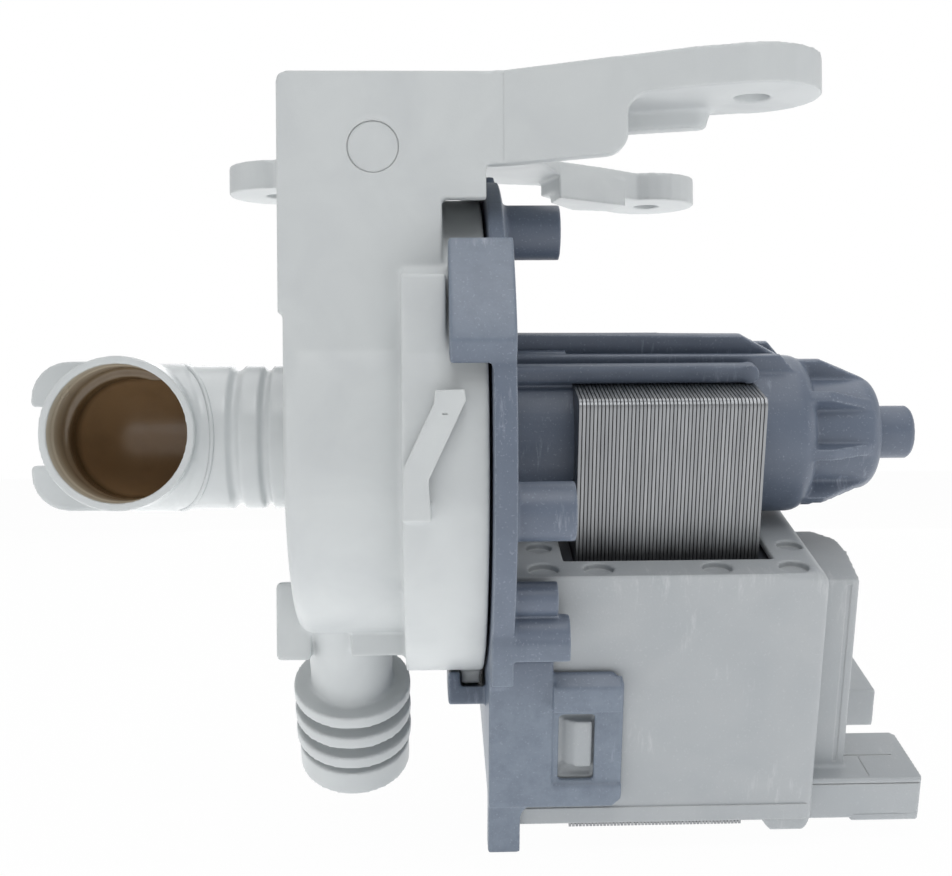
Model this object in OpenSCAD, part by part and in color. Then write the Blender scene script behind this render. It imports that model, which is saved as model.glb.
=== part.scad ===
// Circulation pump of a washing machine: a moulded volute housing on three feet,
// an inlet elbow, and a twist-locked synchronous motor with a wet rotor.
// Millimetres. +Z up, +X from the inlet elbow to the motor's rear stub.
// The origin is on the mounting plane, straight above the rotor axis.

/* [Overall] */
// Drop from the mounting plane to the rotor axis
axis_drop = 60; // [58:1:66]
// Tilt of the motor about its axis, so that its coils hang down and back
motor_tilt = 17; // [10:1:24]
// Tilt of the outlet nozzle away from straight down
nozzle_tilt = 31; // [26:1:36]

/* [Volute chamber] */
// Outer radius of the impeller chamber
chamber_r = 36.5; // [36:0.5:37.5]
// Wall of the volute housing
housing_wall = 2.6; // [2.2:0.1:3]
// Left face of the chamber, along the axis
chamber_left = -32.8; // [-34:0.2:-31]
// Rounding of the chamber's left edge
chamber_edge = 2.5; // [1:0.5:3]

/* [Bayonet ring] */
// Left face of the ring
ring_left = -13.3; // [-14:0.1:-12.6]
// Right face of the ring
ring_right = 0.6; // [0:0.1:0.8]
// Outer radius of the ring
ring_r = 43.6; // [43:0.2:44]
// Wall of the ring
ring_wall = 2.6; // [2.2:0.2:3]
// Height of the flat front block above the axis
ring_flat_top = 25.8; // [24:0.2:27]
// How far the flat front lies inside the ring's radius
ring_flat_inset = 2.1; // [1.6:0.1:2.6]
// Width of each bayonet lug on the ring, along the axis
lug_w = 3.4; // [3:0.1:3.6]
// Height of each bayonet lug above the ring
lug_h = 2.6; // [2:0.1:2.7]

/* [Pedestal box] */
// Left face of the box
box_left = -33.6; // [-35:0.2:-33]
// Right face of the box above the bayonet notch
box_right = 0.8; // [0.4:0.2:1]
// Front face of the box, from the axis
box_front = 33.6; // [33:0.2:34.4]
// Back edge of the box, from the axis
box_back = 33.6; // [32:0.2:35]
// Lowest level of the box's full-width side, above the axis
box_foot = 20.2; // [19:0.2:22]
// Right face of the box beside the bayonet notch
notch_x = -6.5; // [-7:0.1:-6]
// Top of the bayonet notch, above the axis
notch_top = 39; // [38:0.5:41]
// Thickness of the box's top plate
top_plate = 3; // [2.4:0.2:4]
// Radius of the raised disc on the box front
disc_r = 4.2; // [3:0.2:5]

/* [Feet] */
// Thickness of each foot
foot_t = 6.2; // [5:0.2:7]
// Radius of each round foot end
foot_r = 11.1; // [10:0.1:12]
// Diameter of each fixing hole
foot_hole_d = 5.7; // [4.5:0.1:6.5]
// X of both right-hand fixing holes
foot_right_x = 43.3; // [41:0.1:46]
// Y of the front right fixing hole
foot_front_y = -40.3; // [-42:0.1:-39]
// Y of the rear right fixing hole
foot_rear_y = 67; // [65:0.5:69]
// X of the rear left fixing hole
foot_left_x = -41.7; // [-44:0.1:-41]
// Y of the rear left fixing hole
foot_left_y = 51.5; // [50:0.5:53]
// Thickness of the webs under the feet
web_t = 2.6; // [2:0.2:3.2]

/* [Outlet nozzle] */
// X of the nozzle's axis
nozzle_x = -24.2; // [-24.6:0.1:-23.4]
// Outer diameter of the neck
neck_d = 15.9; // [15:0.1:16.6]
// Bore of the nozzle
outlet_bore_d = 11.8; // [11:0.2:12]
// Outer diameter of the barb rings
barb_d = 22.7; // [22:0.1:23.2]
// Outer diameter of the plain end
barb_end_d = 21.8; // [21:0.1:22.2]
// Distance from one barb ring to the next
barb_pitch = 5.1; // [4.8:0.1:5.4]
// Thickness of one barb ring
barb_t = 2.7; // [2.2:0.1:3]
// Number of barb rings
barbs = 3; // [2:1:3]
// Length of the plain end
barb_end_l = 5.5; // [4:0.1:6]

/* [Inlet elbow] */
// Outer diameter of both legs of the elbow
elbow_d = 26.8; // [26:0.1:27.4]
// Outer diameter of the mouth
mouth_d = 27.4; // [26.8:0.1:28]
// Height of the mouth's centre above the rotor axis
mouth_rise = 0.8; // [0:0.1:1]
// Wall of the mouth
mouth_wall = 1.4; // [1.1:0.1:1.6]
// Wall of the horizontal leg
elbow_wall = 2.2; // [2:0.1:2.6]
// X of the mouth's axis
mouth_x = -63.8; // [-66:0.1:-62]
// Distance of the mouth's rim in front of the axis
mouth_y = 16; // [14.5:0.1:20]
// Depth of the grooves round the horizontal leg
groove_depth = 0.9; // [0.5:0.1:1]
// Length of the spigot inside the housing
spigot_l = 8; // [7:0.5:9]
// Depth of the mouth's socket
socket_depth = 4.4; // [3:0.2:5]
// Reach of the ears past the mouth's axis
ear_reach = 18.8; // [17:0.1:20]
// Thickness of the ears
ear_t = 3; // [2:0.2:4]

/* [Motor flange] */
// Left face of the flange plate
flange_left = 1.1; // [1:0.1:1.4]
// Thickness of the flange plate
flange_t = 3.8; // [3.2:0.1:4.4]
// How far the flange plate stands out past the ring
flange_overhang = 3.3; // [2.9:0.1:3.9]
// Wall of the bayonet hooks outside the lugs
hook_wall = 3.2; // [2.6:0.1:4]
// Radial gap between the hooks and the ring
hook_gap = 0.4; // [0.3:0.1:0.6]
// Left end of the hooks
hook_left = -5.7; // [-6.2:0.1:-5.5]
// Thickness of the hooks' lips along the axis
hook_lip_t = 2.2; // [1.8:0.1:2.6]
// Arc of each hook, in degrees
hook_arc = 26.5; // [22:0.5:28]
// Diameter of the screw posts
post_d = 9.8; // [9:0.1:10.4]
// Height of the screw posts
post_h = 9.8; // [8:0.1:10.4]
// Pilot hole in the screw posts
post_hole_d = 3.2; // [2.5:0.1:4]
// Distance of the screw posts' axes from the flange's edge
post_inset = 8.5; // [7:0.1:9]
// Turn of the screw posts against the motor's own axes, in degrees
post_turn = 2; // [0:0.5:4]

/* [Rotor can] */
// Outer radius of the can
can_r = 14.8; // [14.6:0.1:14.9]
// Wall of the can
can_wall = 1.3; // [1.1:0.1:1.4]
// End of the can's full radius
can_end = 61.8; // [60:0.1:62.5]
// Rounding of the can's shoulder
can_edge = 3.5; // [3:0.5:4]
// Outer radius of the rear body
rear_r = 10.7; // [10.4:0.1:11]
// End of the rear body
rear_end = 74.8; // [74:0.1:76]
// Rounding of the rear body
rear_edge = 3; // [2:0.5:3.5]
// Number of ribs round the rear body
rear_ribs = 8; // [6:1:10]
// Thickness of those ribs
rear_rib_t = 2.1; // [1.8:0.1:3]
// Diameter of the rear stub
stub_d = 10; // [9:0.1:10.5]
// End of the rear stub
stub_end = 82.3; // [80:0.1:84]

/* [Stator] */
// Number of laminations
plates = 50; // [40:1:52]
// Width of the bright edge of one lamination
plate_t = 0.5; // [0.4:0.02:0.6]
// Distance from one lamination to the next
plate_pitch = 0.66; // [0.65:0.01:0.67]
// Left end of the stack
stack_left = 17; // [16.8:0.1:17.4]
// Width of the stack across both legs
stack_w = 42; // [40:0.5:43]
// Top of the stack above the axis
stack_top = 12.4; // [12:0.1:13]
// Bottom of the stack below the axis
stack_bottom = 71.3; // [70:0.1:72]
// Width of each leg
leg_w = 12; // [11.5:0.1:12.2]
// Height of the yoke
yoke_h = 12; // [11:0.5:13]

/* [Coil cover] */
// Left face of the cover
cover_left = 5.2; // [5.1:0.1:5.6]
// How far the cover reaches to the right of the stack
cover_past_stack = 10.16; // [9.2:0.02:11.6]
// Half width of the cover
cover_half = 32; // [31.5:0.1:33]
// Top of the cover below the axis
cover_top = 15.6; // [15.4:0.1:16.2]
// Bottom of the cover below the axis
cover_bottom = 63.4; // [62.8:0.1:64.4]
// Wall of the cover
cover_wall = 1.6; // [1.3:0.1:1.8]
// Diameter of the dimples on the top
dimple_d = 5.2; // [4:0.1:5.6]
// Length of the front terminal socket to the right of the cover
socket_l = 21.5; // [20:0.5:22]
// Height of the terminal sockets
socket_h = 8.2; // [8:0.1:9]
// Width of the terminal sockets
socket_w = 17; // [16:0.5:17]

/* [Windings] */
// Build of each winding around its leg
winding_build = 5.2; // [4:0.1:6]
// Wall of the bobbins
bobbin_wall = 0.9; // [0.8:0.1:1]
// Thickness of the bobbins' end plates
bobbin_end_t = 1.6; // [1.2:0.1:2]

/* [Rotor] */
// Diameter of the shaft
shaft_d = 4; // [3.6:0.1:4.2]
// Outer radius of the magnet
magnet_r = 12.9; // [12.4:0.1:13]
// Length of the magnet
magnet_l = 34; // [30:0.5:36]
// Outer diameter of the bearings
bearing_d = 9; // [8:0.1:9.4]
// Length of the bearings
bearing_l = 8; // [7:0.5:8.5]

/* [Impeller] */
// Outer radius of the impeller
impeller_r = 27; // [24:0.5:28]
// Number of vanes
vanes = 6; // [4:1:8]
// Thickness of one vane
vane_t = 2; // [1.6:0.1:2.4]
// Free turning of the impeller on its shaft to each side, in degrees
free_play = 75; // [60:1:90]

/* [Fits] */
// Radial clearance of a shaft in a bearing
running_gap = 0.05; // [0.03:0.01:0.08]
// Gap between parts that are only seated together
seat_gap = 0.02; // [0.01:0.01:0.04]

/* [Hidden] */
$fn = 72;
over = 1; // how far cutting bodies run past the faces they cut
quarter = 90;
arc_steps = 6;
housing_white = "#D2D5D4";
elbow_white = "#D0D2CF";
casing_blue = "#6B7280";
cover_grey = "#9CA3A8";
steel = "#8E9092";

axis_z = -axis_drop;
mount_z = axis_drop; // the mounting plane, seen from the axis
chamber_in = chamber_r - housing_wall;
flange_right = flange_left + flange_t;
stack_right = stack_left + (plates - 1) * plate_pitch + plate_t;
cover_right = stack_right + cover_past_stack;
can_in = can_r - can_wall;
shaft_r = shaft_d / 2;
bearing_r = bearing_d / 2;

// spigot of the motor casing, which plugs into the chamber
spigot_r = chamber_in - 0.4;
spigot_wall = 4.5;
spigot_end = flange_left - 8.2;
seal_t = 2.4; // cord of the rubber seals
seal_at = spigot_end + 3.2;
seal_groove_w = 2.8;
seal_groove_r = chamber_in - seal_t + 0.02;

// bearing plate inside the spigot
plate_bore_r = spigot_r - spigot_wall;
plate_left = spigot_end + 0.2;
plate_right = plate_left + 3;
front_bearing_left = flange_left + 1.2;
rear_bearing_right = rear_end - 3;
rear_bearing_left = rear_bearing_right - bearing_l;
holder_wall = 1.4; // rubber round the bearings
holder_r = bearing_r + holder_wall;
front_holder_r = holder_r + 1.6;
front_bearing_right = front_bearing_left + bearing_l;

// nozzle
first_barb = 12.8; // distance from the chamber wall to the first barb ring
neck_root = 12; // length of the neck inside the chamber wall
nozzle_end = first_barb + (barbs - 1) * barb_pitch + 3 + barb_end_l;

// rotor
magnet_left = (stack_left + stack_right - magnet_l) / 2;
magnet_right = magnet_left + magnet_l;
carrier_r = 6.2; // plastic core between shaft and magnet
rim_t = 2; // plastic rims at the magnet's ends
washer_t = 0.8;
shaft_inset = 7.2; // of the shaft's end behind the chamber's left face
shaft_left = chamber_left + shaft_inset;
shaft_right = rear_bearing_right - 0.4;

// impeller
impeller_right = plate_left - 1.2;
impeller_back_t = 1.6; // back disc that carries the vanes
vane_left = chamber_left + housing_wall + 1.6;
hub_r = 8.6;
hub_l = 14;
hub_left = impeller_right - hub_l;
hub_wall = 1.8;
dog_r = hub_r - hub_wall - 0.4;
dog_l = 6;
cap_room = 3.4; // for the hub's cap, left of the dog
dog_left = hub_left + cap_room;
dog_half = 15; // half angle of the drive dog
stop_half = 180 - dog_half - free_play; // half angle of the impeller's stop

// stator
leg_out = stack_w / 2;
leg_in = leg_out - leg_w;
pole_r = can_r + 0.3;
pole_open = 2 * sqrt(pole_r * pole_r - stack_top * stack_top);
groove_in = 0.3; // depth of the grooves between the laminations' edges
yoke_top = stack_bottom - yoke_h;
bobbin_gap = 0.2;
winding_top = cover_top + cover_wall + 0.6;
winding_bottom = yoke_top - 0.6;

// latch of the cover, in the motor's frame
latch_left = 14;
latch_right = 19.4;
latch_low = -51.4;
latch_top = -42.6;

// terminals
socket_top = -58.2;
socket_wall = 1.1;
socket_back = 66.5;
riser_right = 67.9;
sockets = [[-19, cover_right + socket_l], [15.5, cover_right + socket_l + 2]];

// inlet
elbow_r = elbow_d / 2;
leg_bore_r = elbow_r - elbow_wall;
spigot_tube_r = leg_bore_r + 1.5;
elbow_seal_t = 1;
groove_places = [[-45.3, -42.7], [-39.5, -37.4]];

// bayonet
ring_flat_y = ring_r - ring_flat_inset;
lug_r = ring_r + lug_h;
lug_arc = hook_arc - 7;
lug_right = ring_right - 0.4;
hook_in = lug_r + hook_gap;
hook_r = hook_in + hook_wall;
hook_lip_r = ring_r + hook_gap;
hook_slant = 3.4;
hook_angles = [26.8, 146.8, 266.8]; // from the front, turning upwards
flange_r = ring_r + flange_overhang;

// screw posts, at the top, front and back of the flange
post_angles = [-90, 0, 180];
post_at = flange_r - post_inset;

// locking pawl
pawl_root_z = -13.4;
pawl_gap = 0.5; // between the pawl and the ring
pawl_t = 2.6;
pawl_w = 4.5;
pawl_reach = 10.1; // of the tip to the right of the root
pawl_tip_z = 5.4;

// Moves to the rotor axis, which is this part's working line
module at_axis() {
    translate([0, 0, axis_z]) children();
}

// The tilted frame of the motor: -Y towards its front coil, +Z up along its legs
module motor_frame() {
    at_axis() rotate([motor_tilt, 0, 0]) children();
}

// Cylinder along X
module rod_x(x0, x1, r) {
    translate([x0, 0, 0]) rotate([0, quarter, 0]) cylinder(h = x1 - x0, r = r);
}

// Turned shape about X, from points of [radius, x]
module lathe_x(points) {
    rotate([0, quarter, 0]) rotate_extrude() polygon(points);
}

// Flat outline in Y and Z, given a thickness along X
module plate_x(x0, x1) {
    translate([x0, 0, 0]) rotate([quarter, 0, quarter]) linear_extrude(x1 - x0) children();
}

// Flat outline in X and Z, given a thickness along Y
module plate_y(y0, y1) {
    translate([0, y1, 0]) rotate([quarter, 0, 0]) linear_extrude(y1 - y0) children();
}

// Block from its lowest to its highest corner
module block(low, high) {
    translate(low) cube([for (i = [0:2]) high[i] - low[i]]);
}

// Points of an arc, for outlines
function arc(centre, r, from, to, steps = arc_steps) =
    [for (i = [0:steps]) let (a = from + (to - from) * i / steps) centre + r * [cos(a), sin(a)]];

// Outline of a rectangle with round corners
function round_box(low, high, r) = concat(
    arc([high[0] - r, high[1] - r], r, 0, 90), arc([low[0] + r, high[1] - r], r, 90, 180),
    arc([low[0] + r, low[1] + r], r, 180, 270), arc([high[0] - r, low[1] + r], r, 270, 360));

// Ring segment seen along X, turned by an angle from the front upwards. Its lower end
// slants by the given angle.
module ring_segment(r_in, r_out, angle, arc_angle, slant = 0) {
    steps = 12;
    from = 180 - angle - arc_angle / 2;
    to = 180 - angle + arc_angle / 2;
    polygon(concat(arc([0, 0], r_out, from, to - slant, steps), arc([0, 0], r_in, to, from, steps)));
}

// Volute housing

// Solid of the chamber with its rounded left edge
module chamber_body(r, left, edge, right) {
    lathe_x(concat([[0, right], [0, left]],
        [for (p = arc([r - edge, left + edge], edge, -90, 0)) p], [[r, right]]));
}

// Outline of the flat block that stands on the front of the bayonet ring
module front_block_outline(inset) {
    translate([-ring_flat_y + inset, 0]) square([ring_flat_y - inset - chamber_in, ring_flat_top - inset]);
}

// Ring with its lugs, open to the right round the chamber. The front block ends at the hook.
module bayonet_ring() {
    block_right = hook_left - hook_gap;
    difference() {
        union() {
            plate_x(ring_left, ring_right) circle(r = ring_r);
            plate_x(ring_left, block_right) front_block_outline(0);
            for (a = hook_angles)
                plate_x(lug_right - lug_w, lug_right) ring_segment(ring_r - over, lug_r, a, lug_arc);
        }
        difference() {
            union() {
                plate_x(ring_left + housing_wall, ring_right + over) circle(r = ring_r - ring_wall);
                plate_x(ring_left + housing_wall, block_right - housing_wall) front_block_outline(ring_wall);
            }
            rod_x(ring_left, ring_right + 2 * over, chamber_r);
        }
    }
}

module pedestal_box() {
    corner = 1.4;
    disc_place = [-17.8, 47.5];
    disc_rim = 0.3;
    difference() {
        plate_y(-box_front, box_back) polygon(concat(
            arc([box_left + corner, mount_z - corner], corner, 180, 90),
            [[box_right, mount_z], [box_right, notch_top], [notch_x, notch_top], [notch_x, 0],
             [chamber_left, 0], [chamber_left, box_foot], [box_left, box_foot]]));
        block([box_left + housing_wall, -box_front + housing_wall, 0],
              [notch_x - housing_wall, box_back + over, mount_z - top_plate]);
        block([notch_x, -box_front + housing_wall, 0],
              [box_right + over, box_back + over, ring_r - 0.6]);
        block([notch_x, -box_front + housing_wall, 0],
              [box_right - housing_wall, box_back + over, mount_z - top_plate]);
        block([notch_x - housing_wall - over, -box_front + housing_wall, notch_top + housing_wall],
              [notch_x + over, box_back + over, mount_z - top_plate]);
    }
    // round mark standing on the front face
    translate([disc_place[0], -box_front - disc_rim, disc_place[1]]) rotate([-quarter, 0, 0]) difference() {
        cylinder(h = over, r = disc_r + disc_rim);
        translate([0, 0, -over]) cylinder(h = 2 * over, r = disc_r);
    }
}

// Plan outline of the front arm
module front_arm_plan() {
    end = [foot_right_x, foot_front_y];
    polygon(concat([[-1, -12], [-1, -box_front], [3.8, -box_front - 0.6]],
        [end + foot_r * [cos(-148), sin(-148)] + [-1.2, -2.3]],
        arc(end, foot_r, -118, 90, 16), [[25, -24], [14, -12]]));
}

// Plan outline of the rear right arm
module rear_arm_plan() {
    end = [foot_right_x, foot_rear_y];
    polygon(concat([[20.4, 42.5], [31.6, 50.3]], arc(end, foot_r, -110, 120, 16), [[26, 66], [17, 52]]));
}

// Plan outline of the rear left arm
module left_arm_plan() {
    end = [foot_left_x, foot_left_y];
    polygon(concat([[-14, 26], [-30, 30]], arc(end, foot_r, 270, 90, 16), [[-20, 50]]));
}

// Plan outline of the thin plate that joins the arms behind the box
module joining_plan() {
    polygon([[-33, 24], [-33, 38], [-18, 50], [16, 56], [28, 66], [31, 56], [20.4, 42.5], [12, 20],
             [14, -12], [0, -20], [-10, 20]]);
}

module feet() {
    foot_z = mount_z - foot_t;
    web_bottom = 44.6;
    web_end_x = 20; // where the deep web begins to rise
    web_r = 3;
    web_to = 26;
    rib_bottom = 50.8;
    rib_h = 6;
    rib_top_r = 3.4;
    rib_low_r = 1.6;
    rib_ends = [[22, -27.5], [36, -31.5]];
    root_z = 52;
    root_plan = [[20.4, 42.5], [31.6, 50.3], [36.5, 53.6], [34, 62], [25, 60], [19, 50]];
    clear = 60; // past every edge of the arms
    difference() {
        union() {
            translate([0, 0, foot_z]) linear_extrude(foot_t) {
                front_arm_plan();
                rear_arm_plan();
                left_arm_plan();
            }
            translate([0, 0, mount_z - top_plate]) linear_extrude(top_plate) joining_plan();
            // deep web along the front arm's front edge, with its rounded end
            intersection() {
                translate([0, 0, web_bottom]) linear_extrude(mount_z - web_bottom) difference() {
                    front_arm_plan();
                    translate([0.6, web_t + 0.4]) front_arm_plan();
                    translate([web_end_x, -clear / 2]) square([clear, clear]);
                }
                plate_y(-clear, 0) polygon(concat([[-web_r, clear], [-web_r, web_bottom]],
                    arc([web_end_x, web_bottom + web_r], web_r, 270, 360),
                    arc([web_to, mount_z - foot_t - web_r], web_r, 180, 90),
                    [[clear, mount_z - foot_t], [clear, clear]]));
            }
            // lower rib along the rear edge of the front arm
            hull() for (p = rib_ends)
                translate([p[0], p[1], rib_bottom]) cylinder(h = rib_h, r1 = rib_low_r, r2 = rib_top_r, $fn = 24);
            // thicker root of the rear right arm
            translate([0, 0, root_z]) linear_extrude(rib_h) polygon(root_plan);
        }
        for (p = [[foot_right_x, foot_front_y], [foot_right_x, foot_rear_y], [foot_left_x, foot_left_y]])
            translate([p[0], p[1], foot_z - over]) cylinder(h = foot_t + 2 * over, d = foot_hole_d);
    }
}

// Frame of the nozzle: -Z runs along it, away from the chamber
module nozzle_frame() {
    translate([nozzle_x, 4.7, -37.7]) rotate([nozzle_tilt, 0, 0]) children();
}

module nozzle_outside() {
    nozzle_frame() {
        // the neck leaves the chamber's lower side and slants back
        translate([0, 0, -nozzle_end]) cylinder(h = nozzle_end + neck_root, d = neck_d);
        for (i = [0:barbs - 1])
            translate([0, 0, -first_barb - i * barb_pitch - barb_t / 2]) cylinder(h = barb_t, d = barb_d);
        translate([0, 0, -nozzle_end]) cylinder(h = barb_end_l, d = barb_end_d);
    }
}

module nozzle_bore() {
    entry_z = 2.1; // the bore is wider above this, inside the chamber's wall
    entry_gain = 0.8;
    nozzle_frame() translate([0, 0, -nozzle_end - over])
        cylinder(h = nozzle_end + neck_root + 2 * over, d = outlet_bore_d);
    intersection() {
        nozzle_frame() translate([0, 0, entry_z])
            cylinder(h = neck_root + over - entry_z, r = outlet_bore_d / 2 + entry_gain);
        rod_x(chamber_left + housing_wall, ring_left, chamber_r);
    }
}

module volute_housing() {
    color(housing_white) at_axis() difference() {
        union() {
            chamber_body(chamber_r, chamber_left, chamber_edge, ring_right);
            bayonet_ring();
            pedestal_box();
            feet();
            nozzle_outside();
            // gusset fin at the chamber's lower left
            plate_y(-1.4, 1.4) polygon(round_box([-37.6, -41.8], [nozzle_x - 7, -27.3], 0.8));
            // stiffening rib between the nozzle and the ring
            block([nozzle_x + 0.8, -8, -chamber_r - 3.6], [ring_left + over, 0, 6 - chamber_r]);
            // seat of the locking pawl
            block([ring_left, -ring_r - pawl_gap, pawl_root_z],
                  [ring_left + pawl_w, -ring_r + ring_wall - 0.1, pawl_root_z + pawl_t]);
            // collar that takes the elbow's spigot
            rod_x(chamber_left, chamber_left + spigot_l + 1, spigot_tube_r + 2);
        }
        // impeller chamber
        chamber_body(chamber_in, chamber_left + housing_wall, chamber_edge - 1, ring_right + over);
        // elbow socket
        rod_x(chamber_left - over, chamber_left + housing_wall + over, spigot_tube_r + seat_gap);
        intersection() {
            nozzle_bore();
            rod_x(-60, 20, 90);
        }
    }
}

// Inlet elbow

module ear_outline() {
    top = 14.3;
    low = -13.5;
    left = mouth_x - ear_reach;
    r = 7;
    polygon(concat([[mouth_x, low]], [[mouth_x, top]], arc([left + r, top - r], r, 90, 180),
        [[left, 6.4], [left + 0.5, 5.9], [left + 6, 5.9], [left + 6, -5], [left + 0.5, -5], [left, -5.5]],
        arc([left + r, low + r], r, 180, 270)));
}

module inlet_elbow() {
    mouth_in = mouth_d / 2 - mouth_wall;
    spigot_in = leg_bore_r - 0.4;
    color(elbow_white) at_axis() difference() {
        union() {
            // horizontal leg with its two grooves and the spigot
            rod_x(mouth_x, chamber_left - seat_gap, elbow_r);
            rod_x(mouth_x, chamber_left + housing_wall, spigot_tube_r);
            // leg with the mouth
            translate([mouth_x, 0, mouth_rise]) rotate([quarter, 0, 0]) cylinder(h = mouth_y, d = mouth_d);
            // round back of the elbow
            translate([mouth_x, 0, 0]) sphere(r = elbow_r);
            // raised line where the two legs meet
            intersection() {
                translate([mouth_x, 0, mouth_rise]) rotate([quarter, 0, 0])
                    cylinder(h = 13.2, r1 = mouth_d / 2 + 3, r2 = mouth_d / 2 + 0.6);
                rod_x(mouth_x, mouth_x + 20, elbow_r + 0.4);
            }
            plate_y(-ear_t / 2, ear_t / 2) ear_outline();
            // small moulding nub at the parting line
            block([mouth_x - mouth_d / 2 - 0.2, -9, -0.8], [mouth_x - mouth_d / 2 + 1.3, -6, 0.9]);
        }
        for (g = groove_places) {
            middle = (g[0] + g[1]) / 2;
            lathe_x([[elbow_r + over, g[0]], [elbow_r, g[0]], [elbow_r - groove_depth, middle - 0.4],
                     [elbow_r - groove_depth, middle + 0.4], [elbow_r, g[1]], [elbow_r + over, g[1]]]);
        }
        // water way
        rod_x(mouth_x, chamber_left + housing_wall + over, spigot_in);
        rod_x(mouth_x, groove_places[0][0] - 2, leg_bore_r);
        translate([mouth_x, 0, 0]) sphere(r = leg_bore_r);
        translate([mouth_x, 0, 0]) rotate([quarter, 0, 0]) cylinder(h = mouth_y + over, r = leg_bore_r);
        translate([mouth_x, 0, mouth_rise]) rotate([quarter, 0, 0]) translate([0, 0, elbow_r - 9])
            cylinder(h = mouth_y, r = mouth_in - 0.2);
        translate([mouth_x, 0, mouth_rise]) rotate([quarter, 0, 0]) translate([0, 0, mouth_y - socket_depth])
            cylinder(h = mouth_y, r = mouth_in);
        // groove of the elbow seal
        seal_groove(chamber_left + 1.2, spigot_tube_r - elbow_seal_t + 0.1, spigot_tube_r + 0.3);
    }
}

// Groove round a spigot
module seal_groove(x, r_in, r_out, w = 1.3) {
    lathe_x([[r_in, x - w / 2], [r_out, x - w / 2], [r_out, x + w / 2], [r_in, x + w / 2]]);
}

// Rubber ring of round section
module seal_ring(x, r_mid, t) {
    rotate([0, quarter, 0]) translate([0, 0, x]) rotate_extrude()
        translate([r_mid, 0]) circle(d = t, $fn = 24);
}

module elbow_seal() {
    color("#2A2B2D") at_axis()
        seal_ring(chamber_left + 1.2, spigot_tube_r - elbow_seal_t / 2 + 0.05, elbow_seal_t - 0.1);
}

// Locking pawl, a tongue that lies on the ring in front of the upper hook's end

module locking_pawl() {
    root = ring_left;
    knee_z = pawl_root_z + 6.5; // right edge, where the tongue turns to the right
    shoulder_z = pawl_root_z + 8.2; // left edge, where it turns
    tip = root + pawl_reach;
    color(housing_white) at_axis() plate_y(-ring_r - pawl_gap - pawl_t, -ring_r - pawl_gap)
        polygon([[root, pawl_root_z], [root + pawl_w, pawl_root_z], [root + pawl_w - 0.3, knee_z],
                 [tip, pawl_tip_z], [tip - 0.2, pawl_tip_z + 1.8], [tip - 4.8, pawl_tip_z + 1.6],
                 [tip - 5, pawl_tip_z - 0.4], [root + 0.2, shoulder_z]]);
}

// Motor casing

module casing_flange() {
    taper_in = flange_r - 5.1; // the taper starts here on the flange's right face
    taper_out = flange_r + 1.8;
    taper_left = flange_right - 1.4;
    clear_r = hook_r + 2.2;
    taper_half = 38; // the taper ends at the hooks
    taper_low = 20;
    lip_short = 2; // degrees that the lips end above the hooks' lower ends
    flat_front = [-41.3, -31.5]; // straight front edge of the flange, down to here
    tooth_half = 4;
    tooth_top = flange_r + 1.1;
    tooth_low = flange_r - 6.9;
    difference() {
        plate_x(flange_left, flange_right) circle(r = flange_r);
        // the top of the flange tapers into its tooth
        intersection() {
            lathe_x([[taper_in, flange_right], [taper_out, taper_left], [clear_r, taper_left],
                     [clear_r, flange_right + over], [taper_in, flange_right + over]]);
            block([flange_left, -taper_half, taper_low],
                  [flange_right + 2 * over, taper_half, clear_r + over]);
        }
    }
    for (a = hook_angles) {
        // wall of the hook over the ring's lug
        plate_x(hook_left, flange_right) ring_segment(hook_in, hook_r, a, hook_arc, hook_slant);
        // lip that reaches behind the lug
        plate_x(hook_left, hook_left + hook_lip_t)
            ring_segment(hook_lip_r, hook_r, a + lip_short / 2, hook_arc - lip_short, hook_slant);
        // root that joins the hook to the flange
        plate_x(flange_left, flange_right - 0.2)
            ring_segment(flange_r - over, hook_r - 0.4, a, hook_arc - 1, hook_slant);
    }
    // straight front edge beside the bracket, in the motor's frame
    rotate([motor_tilt, 0, 0]) plate_x(flange_left, flange_right - 0.1)
        polygon([[flat_front[0], -flange_r / 3], flat_front,
                 [flat_front[0] + 8, flat_front[1]], [flat_front[0] + 8, -flange_r / 3]]);
    // tapered tooth on the top of the flange, between the upper hooks
    plate_y(-tooth_half, tooth_half) polygon([[flange_left + 0.7, tooth_low], [flange_left + 0.8, tooth_top],
        [taper_left, tooth_top], [flange_right, taper_in], [flange_right, tooth_low]]);
    // spigot with the groove for the body seal
    difference() {
        rod_x(spigot_end, flange_left + over, spigot_r);
        seal_groove(seal_at, seal_groove_r, spigot_r + over, seal_groove_w);
    }
}

// Screw posts at the top, front and back of the flange
module screw_posts() {
    for (a = post_angles)
        rotate([a + post_turn, 0, 0]) translate([0, -post_at, 0])
            rod_x(flange_left, flange_right + post_h, post_d / 2);
}

module screw_holes() {
    for (a = post_angles)
        rotate([a + post_turn, 0, 0]) translate([0, -post_at, 0])
            rod_x(flange_left - over, flange_right + post_h - 2, post_hole_d / 2);
}

module can_outside() {
    lathe_x(concat([[0, flange_left], [can_r, flange_left]],
        arc([can_r - can_edge, can_end - can_edge], can_edge, 0, 90), [[rear_r, can_end]],
        arc([rear_r - rear_edge, rear_end - rear_edge], rear_edge, 0, 90), [[0, rear_end]]));
    rod_x(rear_end - over, stub_end - 0.6, stub_d / 2);
    lathe_x([[0, stub_end - 0.7], [stub_d / 2, stub_end - 0.7],
             [stub_d / 2 - 0.6, stub_end], [0, stub_end]]);
}

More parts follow.
